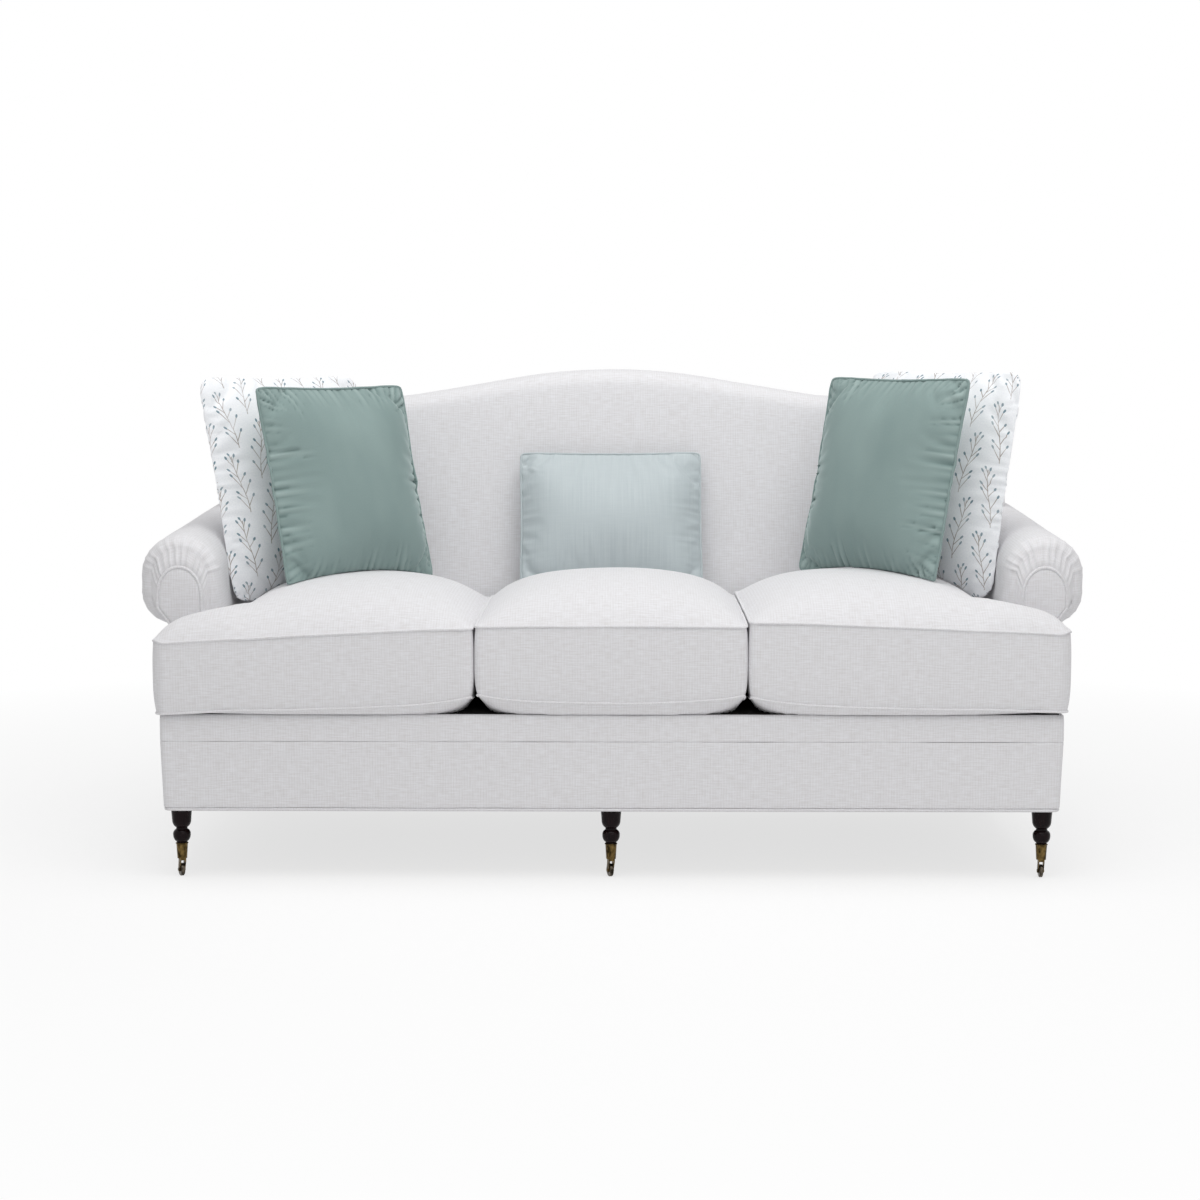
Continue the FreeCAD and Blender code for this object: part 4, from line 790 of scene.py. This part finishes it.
def makeSeatCushion(name):
    corners, rectangles, centre = cushionPlan(name)
    side = -1 if name == "left" else 1
    edgeSwell = membrane(rectangles, seat["edgeSpread"])
    middleSwell = membrane(rectangles, seat["middleSpread"])
    earSwell = membrane(rectangles[1:], seat["earSpread"]) if rectangles[1:] else None
    inner, reach = min(r[0] for r in rectangles), max(r[1] for r in rectangles)

    def weltHeight(which, u):
        first, last = seat[which][name]
        return first + (last - first) * clipped((u - inner) / (reach - inner)) ** seat["weltBend"]

    def topHeight(u, v):
        full = edgeSwell(u, v) * seat["edgeShare"] + middleSwell(u, v) * (1 - seat["edgeShare"])
        welt = weltHeight("top", u)
        height = welt + (seat["top"]["centre"][0] - welt) * seat["levelling"] * full + seat["crown"] * full
        if earSwell and u > rectangles[1][0] and v < rectangles[1][3]:
            height += seat["earCrown"] * earSwell(u, v)
        return height

    def footHeight(u, v):
        full = min(1.0, middleSwell(u, v) / seat["footShare"]) ** seat["footBend"]
        welt = weltHeight("foot", u)
        return welt + (deckTop + seat["deckGap"] - welt) * full

    def rings(loop, height, shares):
        return [[(u, v, height(u, v)) for u, v in loop + (np.array(centre) - loop) * share] for share in shares]

    outline = roundedLoop(corners, seat["step"])
    edge, footEdge = inwards(outline, seat["belly"]), inwards(outline, seat["tuck"])
    rows = rings(footEdge, footHeight, seat["rings"][::-1])
    for level in range(1, seat["levels"]):
        part = level / seat["levels"]
        drawn = seat["belly"] * (2 * part - 1) ** 3 if part > 0.5 else seat["tuck"] * (1 - 2 * part) ** 3
        rows.append([(u, v, footHeight(*footEdge[spot]) * (1 - part) + topHeight(*edge[spot]) * part)
                     for spot, (u, v) in enumerate(inwards(outline, drawn))])
    rows += rings(edge, topHeight, seat["rings"])
    cushion = loft(f"seat_cushion_cover_{name}", (np.array(rows) * (side, 1, 1))[:, ::side], alongCloth=False)
    boxing = len(seat["rings"]) * len(outline)
    boxed = range(boxing, boxing + (seat["levels"] - 1) * len(outline))

    def wrinkle(index, place):
        soft = seat["waves"] * ripple(place, seat["waveLength"], 3.1)
        if index in boxed:
            return seat["boxingWaves"] * soft
        return soft if place[2] > seat["waveFoot"] else 0.0
    pushOut(cushion, wrinkle)
    finishPiece(cushion, (f"seat_cushion_{name}", f"seat_core_{name}"), f"cushion_{name}")
    for which, height, drawn, seed in (("top", topHeight, seat["belly"], 4.0),
                                       ("foot", footHeight, seat["tuck"], 8.0)):
        path = [(u * side, v, height(u, v) + seat["weltSway"] * noise.noise(Vector((u * 9, v * 9, seed))))
                for u, v in inwards(outline, drawn - seat["weltSink"])]
        welt = tube(f"seat_welt_{which}_{name}", path[::side], seat["weltRadius"], True)
        finishPiece(welt, (), f"cushion_{name}")
    cushionTops[name] = lambda x, y: topHeight(x * side, y)


for cushionName in ("left", "centre", "right"):
    makeSeatCushion(cushionName)
print("seat cushions made")


# Arms: a leaning inner face that rolls over at the top, gathered in pleats round an arched front panel

arm = {
    "innerFoot": armLow.x,
    "lean": 0.018,
    "rollRadius": 0.078,
    "rollHeight": 0.575,
    "rollDrop": 0.035,
    "underHeight": 0.478,
    "underRadius": 0.062,
    "rise": 0.035,
    "front": armLow.y,
    "foot": armLow.z,
    "outer": bodyHalf - 0.008,
    "rounding": 0.034,
    "stretch": 1.2,        # how much deeper than high the rounding of the front is
    # shares of the rounding that the front is drawn in by, at each side, at the step and under the roll
    "innerDraw": 0.6,
    "outerDraw": 0.75,
    "stepDraw": 0.2,
    "underDraw": 0.4,
    "noseRows": 7,
    "noseDepth": 0.009,
    "noseLength": 0.026,   # along the cloth
    "noseHollow": 0.002,
    "noseSink": 0.001,
    "rings": (0.012, 0.03, 0.052, 0.08, 0.115, 0.16, 0.22, 0.3, 0.4, 0.52, 0.64, 0.76, 0.88, 1),
    "liftReach": 0.1,      # height over which the rise of the roll sets in
    "rearLift": 0.95,
    "length": 0.7,
    "endGap": 0.0035,
    "endInsets": (0.003, 0.007),
    "endStep": 0.0012,
    "archCentre": 0.850,
    "archRadius": 0.043,
    "archRise": 0.056,
    "archHeight": 0.539,
    "archSide": 0.515,
    "archFoot": 0.474,
    "panelInner": 0.802,
    "panelOuter": 0.862,
    "panelMiddle": (0.014, 0.48),
    "panelRows": ((1.0, 0.0), (0.99, -0.0022), (0.96, -0.0038), (0.85, -0.005), (0.6, -0.0062), (0.3, -0.0068),
                  (0.04, -0.007)),     # size and place of each ring of the panel
    "panelSink": 0.0005,
    "deckGap": 0.0006,
    "weltRadius": 0.0032,
    "weltForward": 0.0022,
    "weltCover": 0.6,      # share of the welt's radius that the panel stops short of
    "pleatSpacing": 0.0165,
    "pleatDepth": 0.0055,
    "pleatReach": 0.089,
    "pleatStart": 0.008,
    "pleatWander": 0.45,
    "innerPleats": 0.45,   # depth of the pleats on the inner side, as a share
    "pleatPitch": 38,      # how quickly neighbouring pleats differ
    "pleatRange": (0.55, 1.2),     # shallowest and deepest, as shares
    "pleatBend": 0.5,
    "waves": 0.0011,
    "waveLength": 0.12,
    "outsideDepth": 0.008,
    "outsideRounding": 0.0025,
    "outsideStep": 0.05,
}
armCounts = (8, 22, 3, 84, 40, 4)      # points on each stretch of the outline, from the outer foot on


def rearPlane(z):
    return backFoot + outsideSlope * (z - bodyFoot)


def arcBetween(start, end, radius, count):
    # points on the arc that turns left from start to end, without its end
    start, end = np.array(start), np.array(end)
    chord = end - start
    half = np.linalg.norm(chord) / 2
    rise = math.sqrt(max(radius ** 2 - half ** 2, 0))
    centre = (start + end) / 2 + np.array((-chord[1], chord[0])) / (2 * half) * rise
    first = math.atan2(*(start - centre)[::-1])
    sweep = 2 * math.asin(min(1, half / radius))
    turns = [first + sweep * part / count for part in range(count)]
    return [centre + radius * np.array((math.cos(turn), math.sin(turn))) for turn in turns]


def overRoll(corner, below, beside, roll, innerTop, innerFoot):
    # outline from the outer foot over the roll and back, where below holds the stretch under the roll, and roll the
    # middle and the two radii of its half oval
    centre, height, radius, rise = roll
    turned = [(centre + radius * math.cos(turn), height + rise * math.sin(turn))
              for turn in [math.pi * part / armCounts[3] for part in range(armCounts[3])]]
    return np.array(lineBetween(corner, below[0], armCounts[0]) + below
                    + lineBetween(beside, (centre + radius, height), armCounts[2]) + turned
                    + lineBetween(innerTop, innerFoot, armCounts[4]) + lineBetween(innerFoot, corner, armCounts[5]))


def armSection(lift, inset):
    innerTop = arm["innerFoot"] + arm["lean"] + inset * arm["innerDraw"]
    outermost = arm["innerFoot"] + arm["lean"] + 2 * arm["rollRadius"] - inset * arm["outerDraw"]
    radius = (outermost - innerTop) / 2
    centre, height = innerTop + radius, arm["rollHeight"] + lift
    under = (bodyHalf - inset * arm["stepDraw"], arm["underHeight"] + lift + inset * arm["underDraw"])
    beside = (centre + radius, height - arm["rollDrop"])
    below = arcBetween(under, beside, arm["underRadius"], armCounts[1])
    return overRoll((arm["outer"], arm["foot"]), below, beside, (centre, height, radius, radius),
                    (innerTop, height), (arm["innerFoot"] + inset * arm["innerDraw"], arm["foot"]))


def archSection(inset):
    # outline of the arched panel, point for point beside that of the arm
    centre, height, foot = arm["archCentre"], arm["archHeight"], deckTop + arm["deckGap"]
    radius, rise = arm["archRadius"] - inset, arm["archRise"] - inset
    inner, outer = arm["panelInner"] + inset, arm["panelOuter"] - inset
    under, beside = (outer, arm["archFoot"] + inset), (centre + radius, arm["archSide"] + inset)
    return overRoll((outer, foot), lineBetween(under, beside, armCounts[1]), beside, (centre, height, radius, rise),
                    (centre - radius, height), (inner, foot))


def armRows():
    # rows of the right arm's cover from the panel to the back, and how far each lies from the panel's welt, along
    # the cloth
    front, rounding, deep = arm["front"], arm["rounding"], sofaBack - arm["front"]
    arch, nose = archSection(0.0), armSection(0.0, rounding)
    rows, gone = [], []
    for part in range(arm["noseRows"]):
        share = part / arm["noseRows"]
        forward = (arm["noseDepth"] * share ** 2 * (3 - 2 * share) - arm["noseHollow"] * math.sin(math.pi * share)
                   - arm["noseSink"])
        rows.append([(u, front + forward, v) for u, v in arch * (1 - share) + nose * share])
        gone.append(arm["noseLength"] * share)
    for angle in range(0, 91, 9):
        turn = math.radians(angle)
        y = front + arm["noseDepth"] + rounding * arm["stretch"] * (1 - math.cos(turn))
        lift = arm["rise"] * (y - front) / deep
        rows.append([(u, y, v) for u, v in armSection(lift, rounding * (1 - math.sin(turn)))])
        gone.append(arm["noseLength"] + rounding * turn)
    start = front + arm["noseDepth"] + rounding * arm["stretch"]
    for share in arm["rings"]:
        rows.append([])
        for u, v in armSection(0.0, 0.0):
            lifted = arm["rise"] * clipped((v - arm["foot"]) / arm["liftReach"])
            y = start + (rearPlane(v + lifted * arm["rearLift"]) - arm["endGap"] - start) * share
            rows[-1].append((u, y, v + lifted * (y - front) / deep))
        gone.append(arm["noseLength"] + rounding * math.pi / 2 + arm["length"] * share)
    for inset in arm["endInsets"]:
        loop = inwards(np.array([(u, v) for u, _, v in rows[-1]]), inset)
        rows.append([(u, y + arm["endStep"], v) for (u, v), (_, y, _) in zip(loop, rows[-1])])
        gone.append(1.0)
    return np.array(rows), gone


def makeArm(side):
    name = "right" if side > 0 else "left"
    rows, gone = armRows()
    size = rows.shape[1]
    ring = armSection(0.0, arm["rounding"] * 0.5)
    steps = np.linalg.norm(np.diff(np.concatenate((ring, ring[:1])), axis=0), axis=1)
    around = np.concatenate(([0], np.cumsum(steps)))[:-1][::side]
    cover = loft(f"arm_upholstery_{name}", (rows * (side, 1, 1))[:, ::side])

    def gather(index, place):
        row, spot = divmod(index, size)
        own = size - 1 - spot if side < 0 else spot
        soft = arm["waves"] * ripple(place, arm["waveLength"], 5.0)
        fade = min(1, gone[row] / arm["pleatStart"]) * max(0, 1 - gone[row] / arm["pleatReach"]) ** 0.8
        if fade <= 0 or not armCounts[0] - 4 <= own <= sum(armCounts[:5]):
            return soft
        wander = arm["pleatWander"] * noise.noise(Vector((around[spot] * arm["pleatPitch"], side * 3.0,
                                                                gone[row] * 5)))
        phase = around[spot] / arm["pleatSpacing"] + wander
        least, most = arm["pleatRange"]
        deep = least + most * abs(noise.noise(Vector((math.floor(phase) * 3.7, side * 5.0, 0.5))))
        share = arm["innerPleats"] if own > sum(armCounts[:4]) + 6 else 1.0
        fold = abs(math.sin(math.pi * phase)) ** arm["pleatBend"]
        return soft - arm["pleatDepth"] * min(deep, most) * share * (1 - fold) * fade
    pushOut(cover, gather)
    finishPiece(cover, (f"arm_cover_{name}",))

    aside, height = arm["panelMiddle"]
    middle = np.array(((arm["panelInner"] + arm["panelOuter"]) / 2 + aside, height))
    edge = archSection(arm["weltRadius"] * arm["weltCover"]) - middle
    sunk = arm["front"] - arm["panelSink"]
    panelRows = [[(u * side, sunk + forward, v) for u, v in middle + edge * share][::side]
                 for share, forward in arm["panelRows"][::-1]]
    panel = loft(f"arm_panel_{name}", panelRows, (True, False), False)
    finishPiece(panel, (f"arm_facing_{name}",))
    path = [(u * side, arm["front"] - arm["weltForward"], v) for u, v in archSection(0.0)[:sum(armCounts[:5]) + 1]]
    welt = tube(f"arm_panel_welt_{name}", path, arm["weltRadius"], False)
    finishPiece(welt, (f"facing_welt_{name}",))


def outsideArm(side):
    name = "right" if side > 0 else "left"
    top, front, depth = arm["underHeight"], arm["front"], arm["outsideDepth"]
    rise = arm["rise"] / (sofaBack - front)
    behind = (rearPlane(top) - front * rise * outsideSlope) / (1 - rise * outsideSlope)
    outline = roundedLoop([(u, v, 0) for u, v in (
        (railFront, bodyFoot), (rearPlane(bodyFoot), bodyFoot), (behind, top + rise * (behind - front)),
        (front, top), (front, deckTop), (railFront, deckTop))], arm["outsideStep"])
    # the left one is drawn mirrored, so that its outline also runs anticlockwise
    panel = slab(f"outside_arm_panel_{name}", (outline * (side, 1))[::side],
                 lambda u, v, w: (side * (bodyHalf - depth + w - narrowed(v)), u * side, v), depth,
                 arm["outsideRounding"])
    finishPiece(panel, (f"outside_arm_{name}",))


for armSide in (-1, 1):
    makeArm(armSide)
    outsideArm(armSide)
print("arms made")


# Back: camel-shaped, padded in front with a soft rounded edge, and plain behind

back = {
    "slope": 0.2126,
    "rounding": 0.034,
    "crestRadius": 1.25,
    "crestReach": 0.206,
    "slopeReach": 0.43,
    "valleyRadius": 0.35,
    "shoulder": 0.06,
    "fullness": 0.006,
    "rows": 46,
    "innerColumns": (0.9, 60),     # share of the half width, and number of points on it
    "outerColumns": 14,
    "sideBulge": 0.004,
    "sideRows": (0.2, 0.4, 0.6, 0.8, 0.95),
    "endInset": 0.002,
    "endGap": 0.0075,
    "waves": 0.0014,
    "waveLength": 0.2,
    "waveStart": 0.01,     # above the deck
    "panelDepth": 0.008,
    "panelRounding": 0.003,
    "panelStep": 0.03,
}
backLow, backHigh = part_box("inside_back")
insideFoot, backHalf, crest = backLow.y, backHigh.x, backHigh.z


def camelTop(x, inset):
    # height of the top edge at x
    x = abs(x)
    angle = math.asin(back["crestReach"] / back["crestRadius"])
    top = crest - inset
    crestEnd = top - back["crestRadius"] * (1 - math.cos(angle))
    slopeEnd = crestEnd - (back["slopeReach"] - back["crestReach"]) * math.tan(angle)
    valley = slopeEnd - back["valleyRadius"] * (1 - math.cos(angle))
    valleyEnd = back["slopeReach"] + back["valleyRadius"] * math.sin(angle)
    edge = backHalf - inset
    corner = back["shoulder"]
    if x <= back["crestReach"]:
        return top - back["crestRadius"] + math.sqrt(back["crestRadius"] ** 2 - x ** 2)
    if x <= back["slopeReach"]:
        return crestEnd - (x - back["crestReach"]) * math.tan(angle)
    if x <= valleyEnd:
        return valley + back["valleyRadius"] - math.sqrt(back["valleyRadius"] ** 2 - (valleyEnd - x) ** 2)
    if x <= edge - corner:
        return valley
    return valley - corner + math.sqrt(max(corner ** 2 - (x - edge + corner) ** 2, 0))


def camelColumns():
    # shares of the half width, closer together at the shoulders
    inner, outer = back["innerColumns"], back["outerColumns"]
    half = list(np.linspace(0, *inner))
    half += [inner[0] + 0.1 * math.sin(math.pi / 2 * part / outer) for part in range(1, outer + 1)]
    return [-share for share in half[:0:-1]] + half


def insidePlane(z):
    return insideFoot + back["slope"] * (z - deckTop)


def makeInsideBack():
    columns = camelColumns()
    levels = [part / back["rows"] for part in range(back["rows"] + 1)]
    rounding = back["rounding"]
    points, faces = [], []
    for level in levels:
        for share in columns:
            x = share * (backHalf - rounding)
            z = deckTop + (camelTop(x, rounding) - deckTop) * level
            bulge = back["fullness"] * (1 - abs(share) ** 3) * math.sin(math.pi * level) ** 0.5
            points.append((x, insidePlane(z) - bulge, z))
    wide, high = len(columns), len(levels)
    for j in range(high - 1):
        for i in range(wide - 1):
            faces.append((j * wide + i, j * wide + i + 1, (j + 1) * wide + i + 1, (j + 1) * wide + i))
    ring = [j * wide for j in range(high)] + [(high - 1) * wide + i for i in range(1, wide)]
    ring += [j * wide + wide - 1 for j in range(high - 2, -1, -1)] + list(range(wide - 2, 0, -1))

    def addRing(inset, depth):
        # one more ring round the edge, as far back as depth says for its height
        nonlocal ring
        half = backHalf - inset
        rise = camelTop(half, inset) - deckTop
        shape = [(-half, deckTop + rise * level) for level in levels]
        shape += [(share * half, camelTop(share * half, inset)) for share in columns[1:]]
        shape += [(half, deckTop + rise * level) for level in levels[-2::-1]]
        shape += [(share * half, deckTop) for share in columns[-2:0:-1]]
        fresh = list(range(len(points), len(points) + len(shape)))
        points.extend((x, depth(z), z) for x, z in shape)
        for spot, vertex in enumerate(fresh):
            after = (spot + 1) % len(fresh)
            faces.append((ring[spot], ring[after], fresh[after], vertex))
        ring = fresh
    for angle in range(10, 91, 10):
        turn = math.radians(angle)
        addRing(rounding * (1 - math.sin(turn)), lambda z: insidePlane(z) + rounding * (1 - math.cos(turn)))
    for share in back["sideRows"]:
        addRing(-back["sideBulge"] * math.sin(math.pi * share), lambda z: (
            (insidePlane(z) + rounding) * (1 - share) + (rearPlane(z) - back["panelDepth"]) * share))
    addRing(back["endInset"], lambda z: rearPlane(z) - back["endGap"])
    faces.append(tuple(ring))
    cover = newPiece("inside_back_cover", points, faces)
    foot = deckTop + back["waveStart"]
    pushOut(cover, lambda index, place: (
        back["waves"] * ripple(place, back["waveLength"], 9.0) if place[2] > foot else 0.0))
    finishPiece(cover, ("inside_back",))


def makeOutsideBack():
    half, sideTop, depth = backHalf, camelTop(backHalf, 0.0), back["panelDepth"]
    outline = []
    for start, end in (((-half, bodyFoot), (half, bodyFoot)), ((half, bodyFoot), (half, sideTop))):
        outline += [start] + straight(start, end, back["panelStep"])
    outline += [(share * half, camelTop(share * half, 0.0)) for share in camelColumns()[::-1]]
    outline += straight((-half, sideTop), (-half, bodyFoot), back["panelStep"])
    panel = slab("outside_back_panel", np.array(outline), lambda u, v, w: (u, rearPlane(v) - depth + w, v), depth,
                 back["panelRounding"])
    finishPiece(panel, ("outside_back",))


makeInsideBack()
makeOutsideBack()
print("back made")


# Scatter pillows: two pieces of cloth sewn together round the edge and stuffed, shaped by a cloth simulation

stuffing = {
    "cells": 50,
    "enlarged": 4.5,       # the cloth's stiffness suits a pillow about 2 m wide, so it is simulated that large
    "frames": 22,
    "cloth": {"quality": 6, "mass": 0.3, "tension_stiffness": 15.0, "compression_stiffness": 15.0,
              "shear_stiffness": 5.0, "bending_stiffness": 0.4, "use_pressure": True, "uniform_pressure_force": 4.0,
              "vertex_group_mass": "seam", "shrink_min": -0.07},   # larger than the outline that holds its seam
    "sag": 0.1,
    "puckerSpacing": 0.019,
    "puckerDepth": 0.0085,
    "puckerReach": 0.048,
    "puckerTilt": 1.0,     # how far the gathers beside a corner turn towards the middle
    "puckerStart": 0.006,
    "puckerWander": 0.45,
    "puckerRange": (0.15, 2.2),    # least strength, and what chance adds to it
    "puckerFade": 1.2,
    "puckerBend": 0.8,
    # painted shading of the gathers: its strength, and the part of a fold past which the painted highlight turns to
    # painted shade
    "paintedShadingContrast": 1.3,
    "paintedShadingLevel": 0.45,
    "seamSharpness": 9,    # how near its corners a case is drawn in
    "layerGap": 0.006,
    "looseness": 0.0012,
    "seatGap": 0.0012,
    "weltCover": 0.6,
}
kinds = {
    "print": {"size": (0.462, 0.462, 0.124), "slot": "printed_cotton", "corner": 0.075, "welt": 0, "draw": 0.008,
              "gather": 0.6},
    "velvet": {"size": (0.418, 0.418, 0.130), "slot": "sage_velvet", "corner": 0.035, "welt": 0.0027, "draw": 0.008,
               "gather": 1.0},
    "satin": {"size": (0.392, 0.310, 0.104), "slot": "aqua_satin", "corner": 0.02, "welt": 0.0022, "draw": 0.004,
              "gather": 0.3},
}
scatter = {
    "print_left": ("print", "left", {"centre": (-0.662, 0.035, 0.738), "turn": 53, "lean": 12}),
    "velvet_left": ("velvet", "left", {"centre": (-0.548, -0.045, 0.741), "turn": 51, "lean": 12.4}),
    "print_right": ("print", "right", {"centre": (0.664, 0.033, 0.748), "turn": -55, "lean": 10}),
    "velvet_right": ("velvet", "right", {"centre": (0.556, -0.050, 0.758), "turn": -54, "lean": 12.3}),
    "lumbar": ("satin", "centre", {"centre": (-0.003, 0.175, 0.651), "turn": 2, "lean": 17}),
}


def sewnCase(name, facts):
    # flat case of two layers that share their edge; returns the piece and its edge in order
    wide, high, _ = facts["size"]
    cells = stuffing["cells"]
    tall = int(round(cells * high / wide))
    points, faces, corners, front, rear = [], [], [], {}, {}
    for layer, table in ((-1, front), (1, rear)):
        for j in range(tall + 1):
            for i in range(cells + 1):
                if layer > 0 and (i in (0, cells) or j in (0, tall)):
                    table[i, j] = front[i, j]
                    continue
                a, b = 2 * i / cells - 1, 2 * j / tall - 1
                drawn = 1 - facts["corner"] * abs(a * b) ** stuffing["seamSharpness"]
                x = a * (wide / 2 - facts["draw"] * (1 - b * b)) * drawn
                z = b * (high / 2 - facts["draw"] * (1 - a * a)) * drawn
                loose = stuffing["looseness"] * noise.noise(Vector((a * 3, b * 3, facts["seed"] * 7 + layer)))
                table[i, j] = len(points)
                points.append((x, layer * stuffing["layerGap"] * (1 - a ** 4) * (1 - b ** 4) + loose, z))
        for j in range(tall):
            for i in range(cells):
                quad = [(i, j), (i + 1, j), (i + 1, j + 1), (i, j + 1)][::-layer]
                faces.append(tuple(table[spot] for spot in quad))
                corners += [(u / cells * wide + (0.6 if layer > 0 else 0) + facts["seed"] * 0.031,
                             v / tall * high + facts["seed"] * 0.017) for u, v in quad]
    edge = [front[i, 0] for i in range(cells)] + [front[cells, j] for j in range(tall)]
    edge += [front[i, tall] for i in range(cells, 0, -1)] + [front[0, j] for j in range(tall, 0, -1)]
    return newPiece(f"pillow_{name}_case", points, faces, corners), edge


def stuff(cases, edges):
    # blows all the cases up together with their seams held, and leaves the result in their meshes
    for case, edge in zip(cases, edges):
        case.vertex_groups.new(name="seam").add(edge, 1.0, "REPLACE")
        case.data.vertices.foreach_set("co", (readPoints(case.data) * stuffing["enlarged"]).ravel())
        cloth = case.modifiers.new("cloth", "CLOTH")
        cloth.point_cache.frame_end = stuffing["frames"]
        for key, value in stuffing["cloth"].items():
            setattr(cloth.settings, key, value)
        cloth.settings.effector_weights.gravity = 0
        cloth.collision_settings.use_collision = False
    for number in range(1, stuffing["frames"] + 1):
        bpy.context.scene.frame_set(number)
    graph = bpy.context.evaluated_depsgraph_get()
    blown = [readPoints(case.evaluated_get(graph).data) for case in cases]
    for case, places in zip(cases, blown):
        case.modifiers.clear()
        case.vertex_groups.clear()
        case.data.vertices.foreach_set("co", (places / stuffing["enlarged"]).ravel())
        case.data.update()
    bpy.context.scene.frame_set(1)


def refined(case):
    # the case with its faces divided once and smoothed; its first points keep their numbers
    case.modifiers.new("smooth", "SUBSURF").levels = 1
    graph = bpy.context.evaluated_depsgraph_get()
    mesh = bpy.data.meshes.new_from_object(case.evaluated_get(graph))
    case.modifiers.clear()
    case.data = mesh


def puckered(places, half, facts):
    # small gathers that run in from the seam, each of its own length and depth; also returns painted shading for
    # them, darker in their folds and lighter on their ridges
    paintedFoldShading = np.zeros(len(places))
    for spot, (x, y, z) in enumerate(places):
        gaps = (half[0] - abs(x), half[2] - abs(z))
        axis = 0 if gaps[0] < gaps[1] else 1
        along, gap, length = (z, x)[axis], max(0, gaps[axis]), half[(2, 0)[axis]]
        fanned = along + stuffing["puckerTilt"] * gap * (along / length) ** 3
        side = axis * 2 + (x > 0 if axis == 0 else z > 0) + (4 if y > 0 else 0)
        wander = stuffing["puckerWander"] * noise.noise(Vector((fanned * 50, facts["seed"], side)))
        number = fanned / stuffing["puckerSpacing"] + wander
        wild = abs(noise.noise(Vector((math.floor(number) * 1.7 + 0.3, facts["seed"] * 3, side * 2.3))))
        strength = stuffing["puckerRange"][0] + stuffing["puckerRange"][1] * wild
        reach = stuffing["puckerReach"] * (0.5 + strength)
        fade = min(1, gap / stuffing["puckerStart"]) * max(0, 1 - gap / reach) ** stuffing["puckerFade"]
        fold = 1 - abs(math.sin(math.pi * number)) ** stuffing["puckerBend"]
        places[spot][1] -= math.copysign(stuffing["puckerDepth"] * facts["gather"] * strength * fold * fade, y)
        # painted shade in each fold and painted highlight on each ridge, kept for the velvet's colour
        paintedFoldShading[spot] = stuffing["paintedShadingContrast"] * min(1.0, strength) * fade * (stuffing["paintedShadingLevel"] - fold)
    return places, paintedFoldShading


def pressedUp(point, seatName, box, gap):
    # the point moved up on to the crown of the cushion where it would sink in
    low, high = box
    if low.x < point.x < high.x and low.y < point.y < high.y:
        point.z = max(point.z, cushionTops[seatName](point.x, point.y) + gap)
    return point


def placePillow(name, facts, case, edge):
    radius, seatName, gap = facts["welt"], facts["seat"], stuffing["seatGap"]
    half = np.array(facts["size"])[[0, 2, 1]] / 2
    half[[0, 2]] -= radius
    refined(case)
    places = readPoints(case.data)
    places -= (places.max(0) + places.min(0)) / 2
    places[:, [0, 2]] *= half[[0, 2]] / places.max(0)[[0, 2]]
    places[:, 1] *= half[1] / places[:, 1].max()
    places, paintedFoldShading = puckered(places, half, facts)
    # the gathers' painted highlight and shade go on the mesh, where the velvet material reads them
    case.data.attributes.new("paintedFoldShading", "FLOAT", "POINT").data.foreach_set("value", paintedFoldShading)
    places[:, 1] *= 1 - stuffing["sag"] * places[:, 2] / half[2]
    place = (Matrix.Translation(facts["centre"]) @ Matrix.Rotation(math.radians(facts["turn"]), 4, "Z")
             @ Matrix.Rotation(math.radians(-facts["lean"]), 4, "X"))
    stood = [place @ Vector(point) for point in places]
    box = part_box(f"seat_cushion_{seatName}")
    pressed = [pressedUp(point.copy(), seatName, box, gap) for point in stood]
    case.data.vertices.foreach_set("co", np.array([tuple(point) for point in pressed]).ravel())
    case.data.update()
    finishPiece(case, (f"pillow_{name}",), name, facts["slot"])
    if radius:
        line = []
        for vertex in edge:
            away = (place.to_3x3() @ Vector((places[vertex][0], 0, places[vertex][2]))).normalized()
            line.append(stood[vertex] + away * radius * stuffing["weltCover"])
        count = len(line)
        line = [(line[spot - 1] + line[spot] * 2 + line[(spot + 1) % count]) / 4 for spot in range(count)]
        line = [pressedUp(point, seatName, box, radius + gap) for point in line]
        finishPiece(tube(f"pillow_{name}_welt", line, radius, True), (), name, facts["slot"])


def makePillows():
    pillows = []
    for number, (name, (kind, seatName, place)) in enumerate(scatter.items()):
        facts = {**kinds[kind], **place, "seat": seatName, "seed": number + 1.0}
        pillows.append((name, facts, *sewnCase(name, facts)))
    stuff([case for _, _, case, _ in pillows], [edge for _, _, _, edge in pillows])
    print("pillows stuffed:", len(pillows))
    for pillow in pillows:
        placePillow(*pillow)


makePillows()
print("pillows placed")
